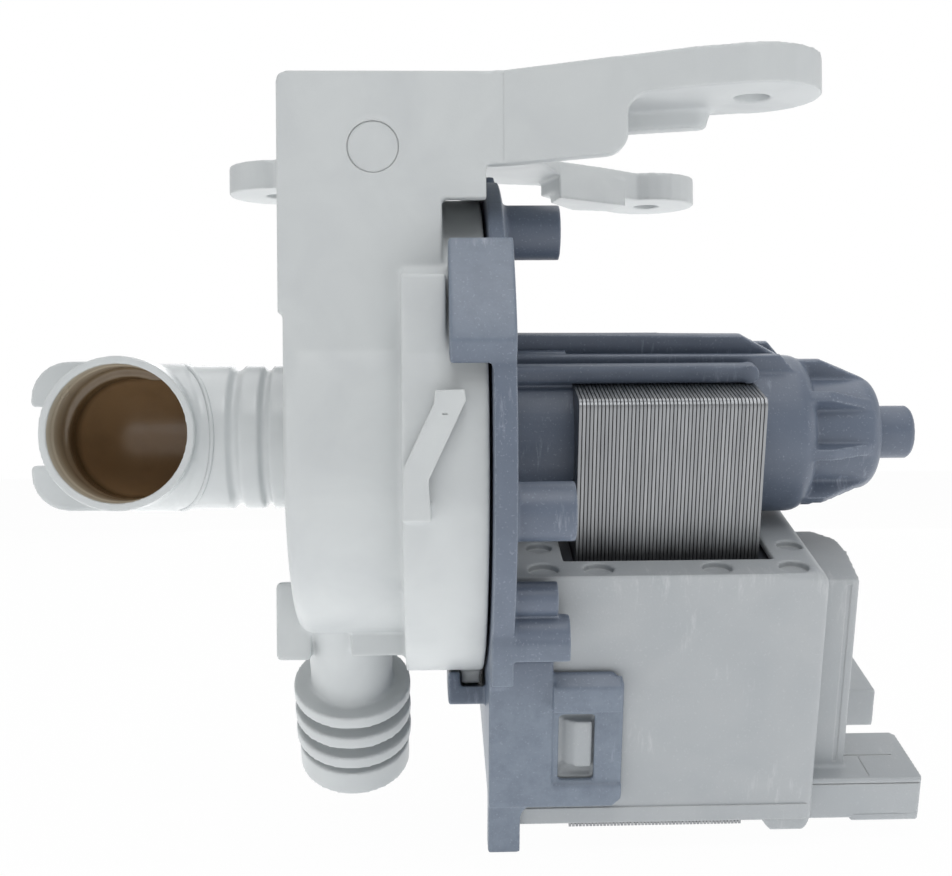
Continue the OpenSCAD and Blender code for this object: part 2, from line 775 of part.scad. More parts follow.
// Tapered ribs between the can's shoulder and the rear body
module can_ribs() {
    for (i = [0:rear_ribs - 1])
        rotate([i * 360 / rear_ribs, 0, 0]) plate_y(-rear_rib_t / 2, rear_rib_t / 2)
            polygon([[can_end - 2, rear_r - 2], [can_end - 2, can_r - 0.5], [can_end + 2.4, can_r - 0.5],
                     [rear_end - 2.2, rear_r], [rear_end - 2.2, rear_r - 2]]);
}

// Rails along the top of the can, which locate the stack
module can_rails() {
    fin_half = 1.3;
    fin_top = can_r + 4.8;
    fin_end = can_end - 5.8;
    rail_at = 5.2; // from the middle fin
    rail_half = 0.9;
    rail_top = can_r + 2.1;
    rail_end = can_end - 3.2;
    rail_root = can_r - 3.8;
    bar_at = 9.2;
    bar_half = 1.6;
    bar_top = stack_top + 3.6;
    bar_end = stack_right + 0.96;
    nose = 2; // round end of the bar
    // middle fin
    plate_y(-fin_half, fin_half) polygon([[flange_left, can_r - 2], [flange_left, fin_top],
        [fin_end - 7, fin_top - 0.4], [fin_end, can_r + 0.6], [fin_end, can_r - 2]]);
    for (side = [-1, 1]) {
        // thin rail
        translate([0, side * rail_at, 0]) plate_y(-rail_half, rail_half)
            polygon([[flange_left, rail_root], [flange_left, rail_top], [rail_end - 3.2, rail_top - 0.3],
                     [rail_end, rail_root + 2], [rail_end, rail_root]]);
        // rounded bar that bears on the stack's top
        translate([0, side * bar_at, 0]) {
            plate_x(flange_left, bar_end - nose)
                polygon(round_box([-bar_half, stack_top + 0.05], [bar_half, bar_top], 1.2));
            translate([bar_end - nose, 0, (stack_top + bar_top) / 2 + seat_gap]) rotate([quarter, 0, 0])
                cylinder(h = 2 * bar_half, r = (bar_top - stack_top) / 2 - seat_gap, center = true);
        }
    }
}

module casing_bracket() {
    back = cover_half + 0.3; // clear of the coil cover
    face = back + 1.3; // front face of the bracket
    right = 24.7;
    step_x = 12.2; // the plate is higher to the left of this
    step_w = -26;
    top_w = -33.1;
    low_w = -58.7;
    corner = 1.5;
    block_low = -39.5;
    block_top = -34.9; // of its front face, under the slanted top
    block_proud = 2;
    bar_top = -54.5;
    ledge = 0.8; // how far the bars stand proud
    left_wall_t = 2.6;
    foot_w = -68.5;
    foot_half = 2.1;
    foot_right = 6.8;
    foot_round = 3;
    small_tube = [-36.9, -17.4];
    small_tube_r = 2.9;
    small_tube_end = 12.3;
    large_tube = [-37.6, -23.6];
    large_tube_r = 3.4;
    large_tube_end = 14.3;
    tube_block_front = -41.4;
    tube_block_low = -27;
    pad_right = 4.2; // low pad under the flange's straight edge
    pad_low = -35.4;
    // front plate with the window for the cover's latch
    difference() {
        union() {
            plate_y(-face, -back) polygon([[flange_left, step_w], [step_x, step_w], [step_x, top_w],
                [right - 2, top_w], [right, top_w - 2], [right, low_w + corner], [right - corner, low_w],
                [flange_left, low_w]]);
            // shoulder block and lower bar stand proud of the plate
            plate_x(step_x, right - 0.4) polygon([[-face, top_w - 0.2], [-face - block_proud, block_top],
                [-face - block_proud, block_low], [-face, block_low]]);
            plate_y(-face - ledge - 0.4, -face) polygon([[flange_left, step_w - 4], [pad_right, step_w - 4],
                [pad_right, pad_low + 0.5], [flange_left, pad_low]]);
            plate_y(-face - ledge, -face) polygon([[flange_left, bar_top], [flange_left, low_w],
                [right - corner, low_w], [right, low_w + corner], [right, bar_top]]);
            plate_y(-face - ledge, -face) polygon([[flange_left, step_w - 4], [step_x, step_w - 4],
                [step_x, bar_top - 0.5], [flange_left, bar_top - 0.5]]);
        }
        block([latch_left - 0.6, -face - block_proud - over, latch_low - 2.5],
              [latch_right + 0.3, -back + over, latch_top + 1.6]);
    }
    // left wall below the flange, and the foot
    plate_x(flange_left, flange_left + left_wall_t)
        polygon([[-face, -20], [-face, low_w], [face, low_w], [face, -20]]);
    for (side = [-1, 1]) {
        // thick beside the cover, and thin in front of it and behind it
        plate_y(side * (face - foot_half) - foot_half, side * (face - foot_half) + foot_half)
            polygon([[flange_left, low_w + over], [flange_left, foot_w], [cover_left - 0.3, foot_w],
                     [cover_left - 0.3, low_w + over]]);
        plate_y(side * (face + back) / 2 - (face - back) / 2, side * (face + back) / 2 + (face - back) / 2)
            polygon(concat([[flange_left, low_w + over], [flange_left, foot_w], [foot_right, foot_w]],
                arc([foot_right + foot_round, low_w - foot_round], foot_round, 180, 90, 4)));
    }
    plate_y(back - 0.1, face)
        polygon([[flange_left, step_w], [right, step_w], [right, low_w], [flange_left, low_w]]);
    // two tubes beside the front post
    translate([0, small_tube[0], small_tube[1]]) rod_x(flange_left, small_tube_end, small_tube_r);
    translate([0, large_tube[0], large_tube[1]]) rod_x(flange_left, large_tube_end, large_tube_r);
    block([flange_left, tube_block_front, tube_block_low],
          [large_tube_end, large_tube[0] + 0.8, large_tube[1]]);
}

module motor_casing() {
    color(casing_blue) motor_frame() difference() {
        union() {
            rotate([-motor_tilt, 0, 0]) casing_flange();
            screw_posts();
            can_outside();
            can_ribs();
            can_rails();
            casing_bracket();
        }
        screw_holes();
        // room for the bearing plate, the rotor and the rear bearing
        rod_x(spigot_end - over, flange_left, plate_bore_r);
        rod_x(spigot_end, magnet_right + rim_t + washer_t + 1, can_in);
        rod_x(flange_left - 2, rear_bearing_right, holder_r + seat_gap);
    }
}

module body_seal() {
    color("#26272A") at_axis() seal_ring(seal_at, chamber_in - seal_t / 2, seal_t - 0.06);
}

// Bearing plate, pushed into the spigot

module bearing_plate() {
    neck_right = front_bearing_right + 1;
    color("#4A505C") at_axis() difference() {
        union() {
            rod_x(plate_left, plate_right, plate_bore_r - seat_gap);
            rod_x(plate_left, flange_left, plate_bore_r - 1.4);
            rod_x(plate_left, neck_right, front_holder_r);
        }
        // weight-saving pocket round the bearing holder, open to the rotor room
        difference() {
            rod_x(plate_right, flange_left + over, plate_bore_r - 3.4);
            rod_x(plate_right - over, flange_left + 2 * over, front_holder_r);
        }
        rod_x(front_bearing_left, neck_right + over, holder_r + seat_gap);
        rod_x(plate_left - over, neck_right, shaft_r + 0.5);
        seal_groove(plate_left + 1.5, plate_bore_r - 1, plate_bore_r + over, 1.4);
    }
}

module plate_seal() {
    color("#26272A") at_axis() seal_ring(plate_left + 1.5, plate_bore_r - 0.5, 0.94);
}

// Bush with a bore for the shaft
module bearing_bush(left) {
    lathe_x([[shaft_r + running_gap, left], [bearing_r, left], [bearing_r, left + bearing_l],
             [shaft_r + running_gap, left + bearing_l]]);
}

// Rubber cup round a bush
module bearing_cup(left) {
    lathe_x([[bearing_r + seat_gap, left], [holder_r, left], [holder_r, left + bearing_l],
             [bearing_r + seat_gap, left + bearing_l]]);
}

module front_bearing() {
    color("#33363B") at_axis() bearing_bush(front_bearing_left);
}

module front_bearing_mount() {
    color("#1F2022") at_axis() bearing_cup(front_bearing_left);
}

module rear_bearing() {
    color("#33363B") at_axis() bearing_bush(rear_bearing_left);
}

module rear_bearing_mount() {
    color("#1F2022") at_axis() bearing_cup(rear_bearing_left);
}

// Rotor

module rotor_shaft() {
    color("#C9CBCD") at_axis() {
        rod_x(shaft_left + 0.5, shaft_right - 0.5, shaft_r);
        lathe_x([[0, shaft_left], [shaft_r - 0.5, shaft_left],
                 [shaft_r, shaft_left + 0.5], [0, shaft_left + 0.5]]);
        lathe_x([[0, shaft_right - 0.5], [shaft_r, shaft_right - 0.5],
                 [shaft_r - 0.5, shaft_right], [0, shaft_right]]);
    }
}

module rotor_carrier() {
    color("#2F3237") at_axis() lathe_x([
        [shaft_r + seat_gap, magnet_left - rim_t], [magnet_r - 1, magnet_left - rim_t],
        [magnet_r - 1, magnet_left - seat_gap], [carrier_r, magnet_left - seat_gap],
        [carrier_r, magnet_right + seat_gap], [magnet_r - 1, magnet_right + seat_gap],
        [magnet_r - 1, magnet_right + rim_t], [shaft_r + seat_gap, magnet_right + rim_t]]);
}

module rotor_magnet() {
    color("#3A3A3C") at_axis() lathe_x([
        [carrier_r + seat_gap, magnet_left], [magnet_r, magnet_left], [magnet_r, magnet_right],
        [carrier_r + seat_gap, magnet_right]]);
}

// Thin rings between the rotor's rims and the bearings
module thrust_washers() {
    color("#E2E0D8") at_axis()
        for (x = [magnet_left - rim_t - washer_t - seat_gap, magnet_right + rim_t + seat_gap])
            lathe_x([[shaft_r + seat_gap, x], [bearing_r - 0.3, x], [bearing_r - 0.3, x + washer_t],
                     [shaft_r + seat_gap, x + washer_t]]);
}

// Drive dog pressed on the shaft, which meets the stop inside the impeller's hub
module drive_dog() {
    collar_r = shaft_r + 1.6;
    color("#B9BBB8") at_axis() difference() {
        union() {
            rod_x(dog_left, dog_left + dog_l, collar_r);
            plate_x(dog_left, dog_left + dog_l) ring_segment(collar_r - 0.5, dog_r, 90, 2 * dog_half);
        }
        rod_x(dog_left - over, dog_left + dog_l + over, shaft_r + seat_gap);
    }
}

// Impeller

module impeller() {
    collar_r = shaft_r + 1.6;
    vane_slope = 3; // the vanes' left edges stand this far back
    eye_r = hub_r + 5.4;
    cavity_left = dog_left - 0.4;
    cavity_right = dog_left + dog_l + 0.4;
    color("#8E959B") at_axis() difference() {
        union() {
            rod_x(hub_left, impeller_right, hub_r);
            rod_x(impeller_right - impeller_back_t, impeller_right, impeller_r * 0.62);
            for (i = [0:vanes - 1])
                rotate([i * 360 / vanes, 0, 0]) plate_y(-vane_t / 2, vane_t / 2)
                    polygon([[impeller_right, hub_r - 1], [hub_left + 1, hub_r - 1],
                             [vane_left + vane_slope, eye_r], [vane_left + vane_slope, impeller_r],
                             [impeller_right, impeller_r]]);
        }
        // room for the dog, with a stop left standing at the bottom
        difference() {
            rod_x(hub_left - over, cavity_right, hub_r - hub_wall);
            plate_x(hub_left - 2 * over, cavity_right + over)
                ring_segment(collar_r + 0.4, hub_r, 270, 2 * stop_half);
        }
        rod_x(hub_left - over, cavity_right, collar_r + 0.4);
        rod_x(hub_left - over, cavity_left, hub_r - hub_wall + 0.4);
        rod_x(hub_left - over, impeller_right + over, shaft_r + running_gap);
    }
}

module hub_cap() {
    cap_right = dog_left - 0.6;
    color("#7F868C") at_axis() difference() {
        rod_x(hub_left + 0.4, cap_right, hub_r - hub_wall + 0.4 - seat_gap);
        rod_x(hub_left - over, cap_right + over, shaft_r + running_gap);
    }
}

// Stator

// Outline of one lamination: two legs, two pole arcs and the yoke
module lamination_outline(inset) {
    r = 1.5;
    out = leg_out - inset;
    top = stack_top - inset;
    difference() {
        polygon(concat(arc([out - r, top - r], r, 0, 90), arc([-out + r, top - r], r, 90, 180),
            [[-out, -stack_bottom + inset], [out, -stack_bottom + inset]]));
        circle(r = pole_r);
        translate([-leg_in, -yoke_top]) square([2 * leg_in, yoke_top + 1]);
        translate([-pole_open / 2, 0]) square([pole_open, stack_top + over]);
    }
}

module stator_laminations() {
    color(steel) motor_frame() {
        for (i = [0:plates - 1])
            translate([stack_left + i * plate_pitch, 0, 0]) plate_x(0, plate_t) lamination_outline(0);
        // the grooves between the plates' edges are shallow
        plate_x(stack_left + 0.1, stack_right - 0.1) lamination_outline(groove_in);
    }
}

// Tube of square section round one leg, between two inset distances
module leg_sleeve(side, inner, outer, w_low, w_high) {
    leg_mid = side * (leg_in + leg_out) / 2;
    difference() {
        block([stack_left - outer, leg_mid - leg_w / 2 - outer, w_low],
              [stack_right + outer, leg_mid + leg_w / 2 + outer, w_high]);
        block([stack_left - inner, leg_mid - leg_w / 2 - inner, w_low - over],
              [stack_right + inner, leg_mid + leg_w / 2 + inner, w_high + over]);
    }
}

// Bobbin on one leg: a sleeve with two end plates
module bobbin(side) {
    inner = bobbin_gap;
    core = inner + bobbin_wall;
    rim = core + winding_build + 0.5;
    leg_sleeve(side, inner, core, -winding_bottom, -winding_top);
    leg_sleeve(side, inner, rim, -winding_bottom, -winding_bottom + bobbin_end_t);
    leg_sleeve(side, inner, rim, -winding_top - bobbin_end_t, -winding_top);
}

module winding(side) {
    inner = bobbin_gap + bobbin_wall + seat_gap;
    leg_sleeve(side, inner, inner + winding_build, -winding_bottom + bobbin_end_t + seat_gap,
        -winding_top - bobbin_end_t - seat_gap);
}

module front_bobbin() {
    color("#3B3D42") motor_frame() bobbin(-1);
}

module rear_bobbin() {
    color("#3B3D42") motor_frame() bobbin(1);
}

module front_winding() {
    color("#B26A3C") motor_frame() winding(-1);
}

module rear_winding() {
    color("#B26A3C") motor_frame() winding(1);
}

// Coil cover with its terminal sockets

// Latch that snaps into the bracket's window
module cover_latch() {
    proud = 1.1;
    edge = 2.4; // width of its slanted side
    translate([0, 0, latch_low]) linear_extrude(latch_top - latch_low)
        polygon([[latch_left, over - cover_half], [latch_left, 0.3 - cover_half],
                 [latch_left + edge, -cover_half - proud], [latch_right, -cover_half - proud],
                 [latch_right, over - cover_half]]);
}

module coil_cover() {
    edge = 2.4;
    slot = 0.6; // clearance round the yoke
    inner_y = cover_half - cover_wall;
    foot_t = 6;
    foot_w = -cover_bottom - 2.4;
    foot_right = cover_right - 1.4;
    riser_top = -20.5;
    riser_low = socket_top + 0.2;
    riser_front = -23.2;
    riser_rear = 1.5;
    riser_bulge = -9.5;
    riser_turn = -3;
    pocket_depth = 0.9; // in the cover's wall, round the latch
    opening = [stack_left - 2.6, 24.7, stack_right + 1.76]; // slot for the stack: left, half width, right
    edge_dimples = [10.6, 20.2, cover_right - 19.2, cover_right - 5.7];
    end_dimples = [10.6, cover_right - 4];
    edge_dimple_y = cover_half - 3.6;
    end_dimple_y = cover_half - 13.6;
    dimple_depth = 1.2;
    color(cover_grey) motor_frame() difference() {
        union() {
            difference() {
                plate_y(-cover_half, cover_half) polygon(concat([[cover_left, -cover_bottom]],
                    [[cover_left, -cover_top]], arc([cover_right - edge, -cover_top - edge], edge, 90, 0),
                    [[cover_right, -cover_bottom]]));
                block([cover_left + cover_wall, -inner_y, -cover_bottom - over],
                      [cover_right - cover_wall, inner_y, -cover_top - cover_wall]);
            }
            // bottom, which closes the cover round the legs
            block([cover_left, -cover_half, -cover_bottom],
                  [cover_right, cover_half, -cover_bottom + cover_wall]);
            // feet at the lower right corners
            for (side = [-1, 1])
                translate([0, side * (cover_half - foot_t / 2), 0]) plate_y(-foot_t / 2, foot_t / 2)
                    polygon([[foot_right - 8, -cover_bottom], [foot_right - 6.2, foot_w],
                             [foot_right, foot_w], [cover_right, -cover_bottom]]);
            // riser on the right side
            translate([0, 0, riser_low]) linear_extrude(riser_top - riser_low)
                polygon([[cover_right - over, riser_front], [riser_right, riser_front],
                         [riser_right + 1.6, riser_bulge], [riser_right + 1.2, riser_turn],
                         [riser_right - 2.3, riser_rear], [cover_right - over, riser_rear]]);
            // terminal sockets
            for (s = sockets)
                block([cover_right - over, s[0] - socket_w / 2, socket_top - socket_h],
                      [s[1], s[0] + socket_w / 2, socket_top]);
            block([cover_right - over, sockets[0][0], socket_top - socket_h],
                  [riser_right, sockets[1][0], socket_top]);
            cover_latch();
        }
        // pocket round the latch
        difference() {
            block([latch_left - 0.4, -cover_half - over, latch_low - 2.3],
                  [latch_right + 0.1, -cover_half + pocket_depth, latch_top + 1.4]);
            cover_latch();
        }
        // slot for the stack in the top
        block([opening[0], -opening[1], -cover_top - cover_wall - over],
              [opening[2], opening[1], -cover_top + over]);
        // way out for the yoke in the bottom
        block([stack_left - slot, -leg_out - slot, -cover_bottom - over],
              [stack_right + slot, leg_out + slot, -cover_bottom + cover_wall + over]);
        // dimples along both edges of the top
        for (side = [-1, 1]) {
            for (x = edge_dimples)
                translate([x, side * edge_dimple_y, -cover_top - dimple_depth])
                    cylinder(h = 2, d = dimple_d);
            for (x = end_dimples)
                translate([x, side * end_dimple_y, -cover_top - dimple_depth])
                    cylinder(h = 2, d = dimple_d - 0.6);
        }
        // sockets, open to the right
        for (s = sockets)
            block([socket_back, s[0] - socket_w / 2 + socket_wall, socket_top - socket_h + socket_wall],
                  [s[1] + over, s[0] + socket_w / 2 - socket_wall, socket_top - socket_wall]);
    }
}

// Flat blades in the sockets, two in each
module terminals() {
    blade_t = 0.8;
    blade_w = 4.8;
    blade_gap = 7; // from one blade to the other
    mid = socket_top - socket_h / 2;
    color("#C8C9C6") motor_frame() for (s = sockets, offset = [-blade_gap / 2, blade_gap / 2])
        block([socket_back + seat_gap, s[0] + offset - blade_t / 2, mid - blade_w / 2],
              [s[1] - 4, s[0] + offset + blade_t / 2, mid + blade_w / 2]);
}

// Heat-sensing switch between the two windings
module thermal_cutout() {
    half = leg_in - bobbin_gap - bobbin_wall - winding_build - 0.3;
    size = [14, 10];
    middle = [(stack_left + stack_right) / 2 - 0.42, -41];
    color("#EDEBE4") motor_frame() block([middle[0] - size[0] / 2, -half, middle[1] - size[1] / 2],
        [middle[0] + size[0] / 2, half, middle[1] + size[1] / 2]);
}

volute_housing();
inlet_elbow();
elbow_seal();
locking_pawl();
motor_casing();
body_seal();
bearing_plate();
plate_seal();
front_bearing();
front_bearing_mount();
rear_bearing();
rear_bearing_mount();
rotor_shaft();
rotor_carrier();
rotor_magnet();
thrust_washers();
drive_dog();
impeller();
hub_cap();
stator_laminations();
front_bobbin();
rear_bobbin();
front_winding();
rear_winding();
coil_cover();
terminals();
thermal_cutout();
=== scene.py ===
"""Looks of a washing machine's circulation pump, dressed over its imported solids.

Metres throughout, in the frame of the solids: +Z up, +X from the inlet elbow to the motor's
rear stub, and the origin on the feet's mounting plane, straight above the rotor's axis.
Sizes of pieces are given in mm from the rotor's axis.
"""

from __future__ import annotations

import logging
import math
from collections.abc import Callable
from dataclasses import dataclass
from enum import Enum

import bpy
from mathutils import Matrix, Vector


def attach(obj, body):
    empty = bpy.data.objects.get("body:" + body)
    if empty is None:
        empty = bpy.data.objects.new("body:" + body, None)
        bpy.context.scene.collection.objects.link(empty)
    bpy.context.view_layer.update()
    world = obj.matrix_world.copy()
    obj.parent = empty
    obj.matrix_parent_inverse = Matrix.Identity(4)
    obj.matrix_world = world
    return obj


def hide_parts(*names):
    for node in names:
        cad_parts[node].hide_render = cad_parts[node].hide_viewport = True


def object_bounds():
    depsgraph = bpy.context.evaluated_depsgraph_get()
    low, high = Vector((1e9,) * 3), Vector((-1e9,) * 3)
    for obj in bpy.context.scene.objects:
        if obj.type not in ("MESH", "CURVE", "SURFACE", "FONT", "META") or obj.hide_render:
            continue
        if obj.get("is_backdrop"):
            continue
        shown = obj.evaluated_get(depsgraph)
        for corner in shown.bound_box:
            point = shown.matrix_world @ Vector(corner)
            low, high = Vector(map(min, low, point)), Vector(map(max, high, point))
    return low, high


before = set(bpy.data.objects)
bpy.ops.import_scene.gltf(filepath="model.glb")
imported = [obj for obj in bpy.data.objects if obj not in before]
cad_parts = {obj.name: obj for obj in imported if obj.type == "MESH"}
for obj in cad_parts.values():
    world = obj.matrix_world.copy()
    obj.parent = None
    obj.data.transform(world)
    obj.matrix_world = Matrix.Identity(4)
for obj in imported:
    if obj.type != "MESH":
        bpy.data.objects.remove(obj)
SOLIDS_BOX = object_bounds()

log = logging.getLogger("circulation_pump")

MM = 0.001
Point = tuple[float, float, float]
Box = tuple[Point, Point]  # its lowest and its highest corner
AXIS_Z = -60 * MM  # height of the rotor's axis
MOTOR_TILT = math.radians(17)  # the motor's coils hang down and back

SMOOTH_ANGLE = math.radians(35)  # faces that meet at less than this are shaded as one
RELAX_PASSES = 2  # how often a rebuilt surface is relaxed
MERGE_REACH = 1e-6  # points closer than this are one
FLAT_ANGLE = math.radians(0.5)  # faces that bend less than this are one face


class Body(Enum):
    """The rigid bodies that new pieces ride on."""

    PUMP = "pump"
    PAWL = "pawl"


class Turn(Enum):
    """How a piece's own directions lie: as the frame's, or as the tilted motor's."""

    UPRIGHT = 0.0
    MOTOR = MOTOR_TILT


# Colours and materials


def linear(hex_colour: str) -> tuple[float, float, float, float]:
    """Turns an sRGB hex colour to linear.

    Args:
        hex_colour: the colour as "#RRGGBB".

    Returns:
        Red, green, blue and an alpha of 1.
    """
    parts = [int(hex_colour[i : i + 2], 16) / 255 for i in (1, 3, 5)]
    red, green, blue = (c / 12.92 if c <= 0.04045 else ((c + 0.055) / 1.055) ** 2.4 for c in parts)
    return red, green, blue, 1.0


def add_node(
    tree: bpy.types.NodeTree,
    kind: str,
    settings: dict[str, object] | None = None,
    links: dict[str | int, bpy.types.NodeSocket] | None = None,
) -> bpy.types.Node:
    """Adds one shader node with its settings and links.

    Args:
        tree: the node tree it goes into.
        kind: Blender's name of the node, without "ShaderNode".
        settings: properties and input values by name; "#1" is the input with that number.
        links: output sockets by the name or number of the input they feed.

    Returns:
        The node.
    """
    made = tree.nodes.new("ShaderNode" + kind)
    for name, value in (settings or {}).items():
        if name.startswith("#"):
            made.inputs[int(name[1:])].default_value = value
        elif name in made.inputs:
            made.inputs[name].default_value = value
        else:
            setattr(made, name, value)
    for name, socket in (links or {}).items():
        tree.links.new(socket, made.inputs[name])
    return made


def new_material(name: str) -> tuple[bpy.types.Material, bpy.types.NodeTree]:
    """Starts a material with an empty node tree.

    Args:
        name: the material's name.

    Returns:
        The material and its node tree.
    """
    material = bpy.data.materials.new(name)
    material.use_nodes = True
    material.node_tree.nodes.clear()
    return material, material.node_tree


MATERIALS: dict[str, bpy.types.Material] = {}


def shared(name: str, build: Callable[[], bpy.types.Material]) -> bpy.types.Material:
    """Returns the material of that name, and builds it the first time.

    Args:
        name: the material's name.
        build: makes it.

    Returns:
        The material.
    """
    if name not in MATERIALS:
        MATERIALS[name] = build()
    return MATERIALS[name]


# Sizes of the patterns on plastic, in mm
FLOW_MM = 13.0  # flow marks, where the melt ran
FIBRE_MM = 0.42  # pale glass fibres near the skin, far coarser than real ones so that they show
SCUFF_MM = 1.3  # scuffs, before they are drawn out
SCUFF_PATCH_MM = 16.0  # the places that have scuffs
RUB_PATCH_MM = 3.0  # the patches that a rubbed rim is made of
FILM_CLOUD_MM = 5.0  # clouds in the brown scale of the water way

SCUFF_STRETCH = (1.0, 0.25, 0.16)  # scuffs run along the directions with small values
SCUFF_TURN = (0.3, 0.5, 0.9)  # how they lie, in radians


@dataclass(frozen=True)
class MouldedPlastic:
    """Injection-moulded plastic from an eroded steel mould: a fine grain, flow marks, and pale edges that are
    worn and carry a painted highlight.
    """

    name: str
    base: str
    flow: str  # colour of the flow marks
    pale_marks_and_highlight: str  # colour of fibres, scuffs and worn edges; on edges it is also a painted highlight
    roughness: float
    edge_mm: float  # how far the shading rounds an edge
    grain_mm: float  # the mould's grain, coarser than the real one so that it shows
    grain_depth_mm: float
    ior: float
    scuffs: float = 0.0  # how strongly scuffs show
    flecks: float = 0.0  # how strongly glass fibres show
    edge_wear_and_highlight: float = 0.7  # how much of the pale colour an edge takes, as wear and as a painted highlight

    def material(self) -> bpy.types.Material:
        """Gives the finish's one material."""
        return shared(self.name, self._build)

    def _stain(
        self, tree: bpy.types.NodeTree, place: bpy.types.NodeSocket, colour: bpy.types.NodeSocket
    ) -> bpy.types.NodeSocket:
        """Leaves a plain plastic as it is; a stained one tints its colour here, and the elbow paints shade
        into its water way here.
        """
        return colour

    def _pale_marks_and_highlight_where(
        self, tree: bpy.types.NodeTree, colour: bpy.types.NodeSocket, share: bpy.types.NodeSocket
    ) -> bpy.types.NodeSocket:
        """Mixes the pale colour of fibres, scuffs, worn edges and the painted edge highlight into another
        one.

        Args:
            tree: the material's node tree.
            colour: the other colour.
            share: how much of the pale colour each point takes.

        Returns:
            The mixed colour.
        """
        settings = {"data_type": "RGBA", "#7": linear(self.pale_marks_and_highlight)}
        return add_node(tree, "Mix", settings, {0: share, 6: colour}).outputs[2]

    def _worn_and_highlit_edges(
        self, tree: bpy.types.NodeTree, colour: bpy.types.NodeSocket, rounded: bpy.types.NodeSocket
    ) -> bpy.types.NodeSocket:
        """Pales the edges, where the rounded normal turns away from the face's own: partly wear, partly a
        painted highlight along every edge.

        Args:
            tree: the material's node tree.
            colour: the colour of the faces.
            rounded: the normal that rounds the edges.

        Returns:
            The colour with its pale edges.
        """
        flat = add_node(tree, "NewGeometry")
        bend = add_node(
            tree, "VectorMath", {"operation": "DOT_PRODUCT"}, {0: rounded, 1: flat.outputs["Normal"]}
        )
        # paler edges: partly wear, partly a painted highlight along every edge
        edge = add_node(
            tree,
            "MapRange",
            {"From Min": 0.985, "From Max": 0.8, "To Min": 0.0, "To Max": self.edge_wear_and_highlight},
            {"Value": bend.outputs["Value"]},
        )
        return self._pale_marks_and_highlight_where(tree, colour, edge.outputs["Result"])

    def _glass_flecks(
        self, tree: bpy.types.NodeTree, place: bpy.types.NodeSocket, colour: bpy.types.NodeSocket
    ) -> bpy.types.NodeSocket:
        """Scatters pale glass fibres.

        Args:
            tree: the material's node tree.
            place: the point's own coordinates.
            colour: the colour without them.

        Returns:
            The flecked colour.
        """
        fibres = add_node(
            tree,
            "TexNoise",
            {"Scale": 1 / (FIBRE_MM * MM), "Detail": 1.0, "Roughness": 0.4},
            {"Vector": place},
        )
        few = add_node(
            tree,
            "MapRange",
            {"From Min": 0.64, "From Max": 0.76, "To Min": 0.0, "To Max": self.flecks},
            {"Value": fibres.outputs["Fac"]},
        )
        return self._pale_marks_and_highlight_where(tree, colour, few.outputs["Result"])

    def _pale_scuffs(
        self, tree: bpy.types.NodeTree, place: bpy.types.NodeSocket, colour: bpy.types.NodeSocket
    ) -> bpy.types.NodeSocket:
        """Draws short pale scuffs, in some places only.

        Args:
            tree: the material's node tree.
            place: the point's own coordinates.
            colour: the colour without them.

        Returns:
            The scuffed colour.
        """
        along = add_node(tree, "Mapping", {"Scale": SCUFF_STRETCH, "Rotation": SCUFF_TURN}, {"Vector": place})
        marks = add_node(
            tree,
            "TexNoise",
            {"Scale": 1 / (SCUFF_MM * MM), "Detail": 6.0, "Roughness": 0.72},
            {"Vector": along.outputs[0]},
        )
        where = add_node(
            tree, "TexNoise", {"Scale": 1 / (SCUFF_PATCH_MM * MM), "Detail": 2.0}, {"Vector": place}
        )
        both = add_node(
            tree, "Math", {"operation": "MULTIPLY"}, {0: marks.outputs["Fac"], 1: where.outputs["Fac"]}
        )
        share = add_node(
            tree,
            "MapRange",
            {"From Min": 0.34, "From Max": 0.46, "To Min": 0.0, "To Max": self.scuffs},
            {"Value": both.outputs[0]},
        )
        return self._pale_marks_and_highlight_where(tree, colour, share.outputs["Result"])

    def _build(self) -> bpy.types.Material:
        """Builds the nodes: flow marks, worn edges with a painted highlight, stains and painted shade, glass
        flecks, scuffs and grain.

        Returns:
            The material.
        """
        made, tree = new_material(self.name)
        place = add_node(tree, "TexCoord").outputs["Object"]
        flow = add_node(
            tree,
            "TexNoise",
            {"Scale": 1 / (FLOW_MM * MM), "Detail": 3.0, "Roughness": 0.5, "Distortion": 0.8},
            {"Vector": place},
        )
        flow_share = add_node(
            tree,
            "MapRange",
            {"From Min": 0.35, "From Max": 0.7, "To Min": 0.0, "To Max": 0.75},
            {"Value": flow.outputs["Fac"]},
        )
        plain = add_node(
            tree,
            "Mix",
            {"data_type": "RGBA", "#6": linear(self.base), "#7": linear(self.flow)},
            {0: flow_share.outputs["Result"]},
        )
        soft = add_node(tree, "Bevel", {"samples": 6, "Radius": self.edge_mm * MM})
        colour = self._worn_and_highlit_edges(tree, plain.outputs[2], soft.outputs["Normal"])
        colour = self._stain(tree, place, colour)
        if self.flecks:
            colour = self._glass_flecks(tree, place, colour)
        if self.scuffs:
            colour = self._pale_scuffs(tree, place, colour)
        grain = add_node(
            tree,
            "TexNoise",
            {"Scale": 1 / (self.grain_mm * MM), "Detail": 2.0, "Roughness": 0.6},
            {"Vector": place},
        )
        gloss = add_node(
            tree,
            "MapRange",
            {"To Min": self.roughness - 0.05, "To Max": self.roughness + 0.07},
            {"Value": flow.outputs["Fac"]},
        )
        bump = add_node(
            tree,
            "Bump",
            {"Strength": 0.35, "Distance": self.grain_depth_mm * MM},
            {"Height": grain.outputs["Fac"], "Normal": soft.outputs["Normal"]},
        )
        shader = add_node(
            tree,
            "BsdfPrincipled",
            {"IOR": self.ior},
            {"Base Color": colour, "Roughness": gloss.outputs["Result"], "Normal": bump.outputs["Normal"]},
        )
        add_node(tree, "OutputMaterial", {}, {"Surface": shader.outputs[0]})
        return made


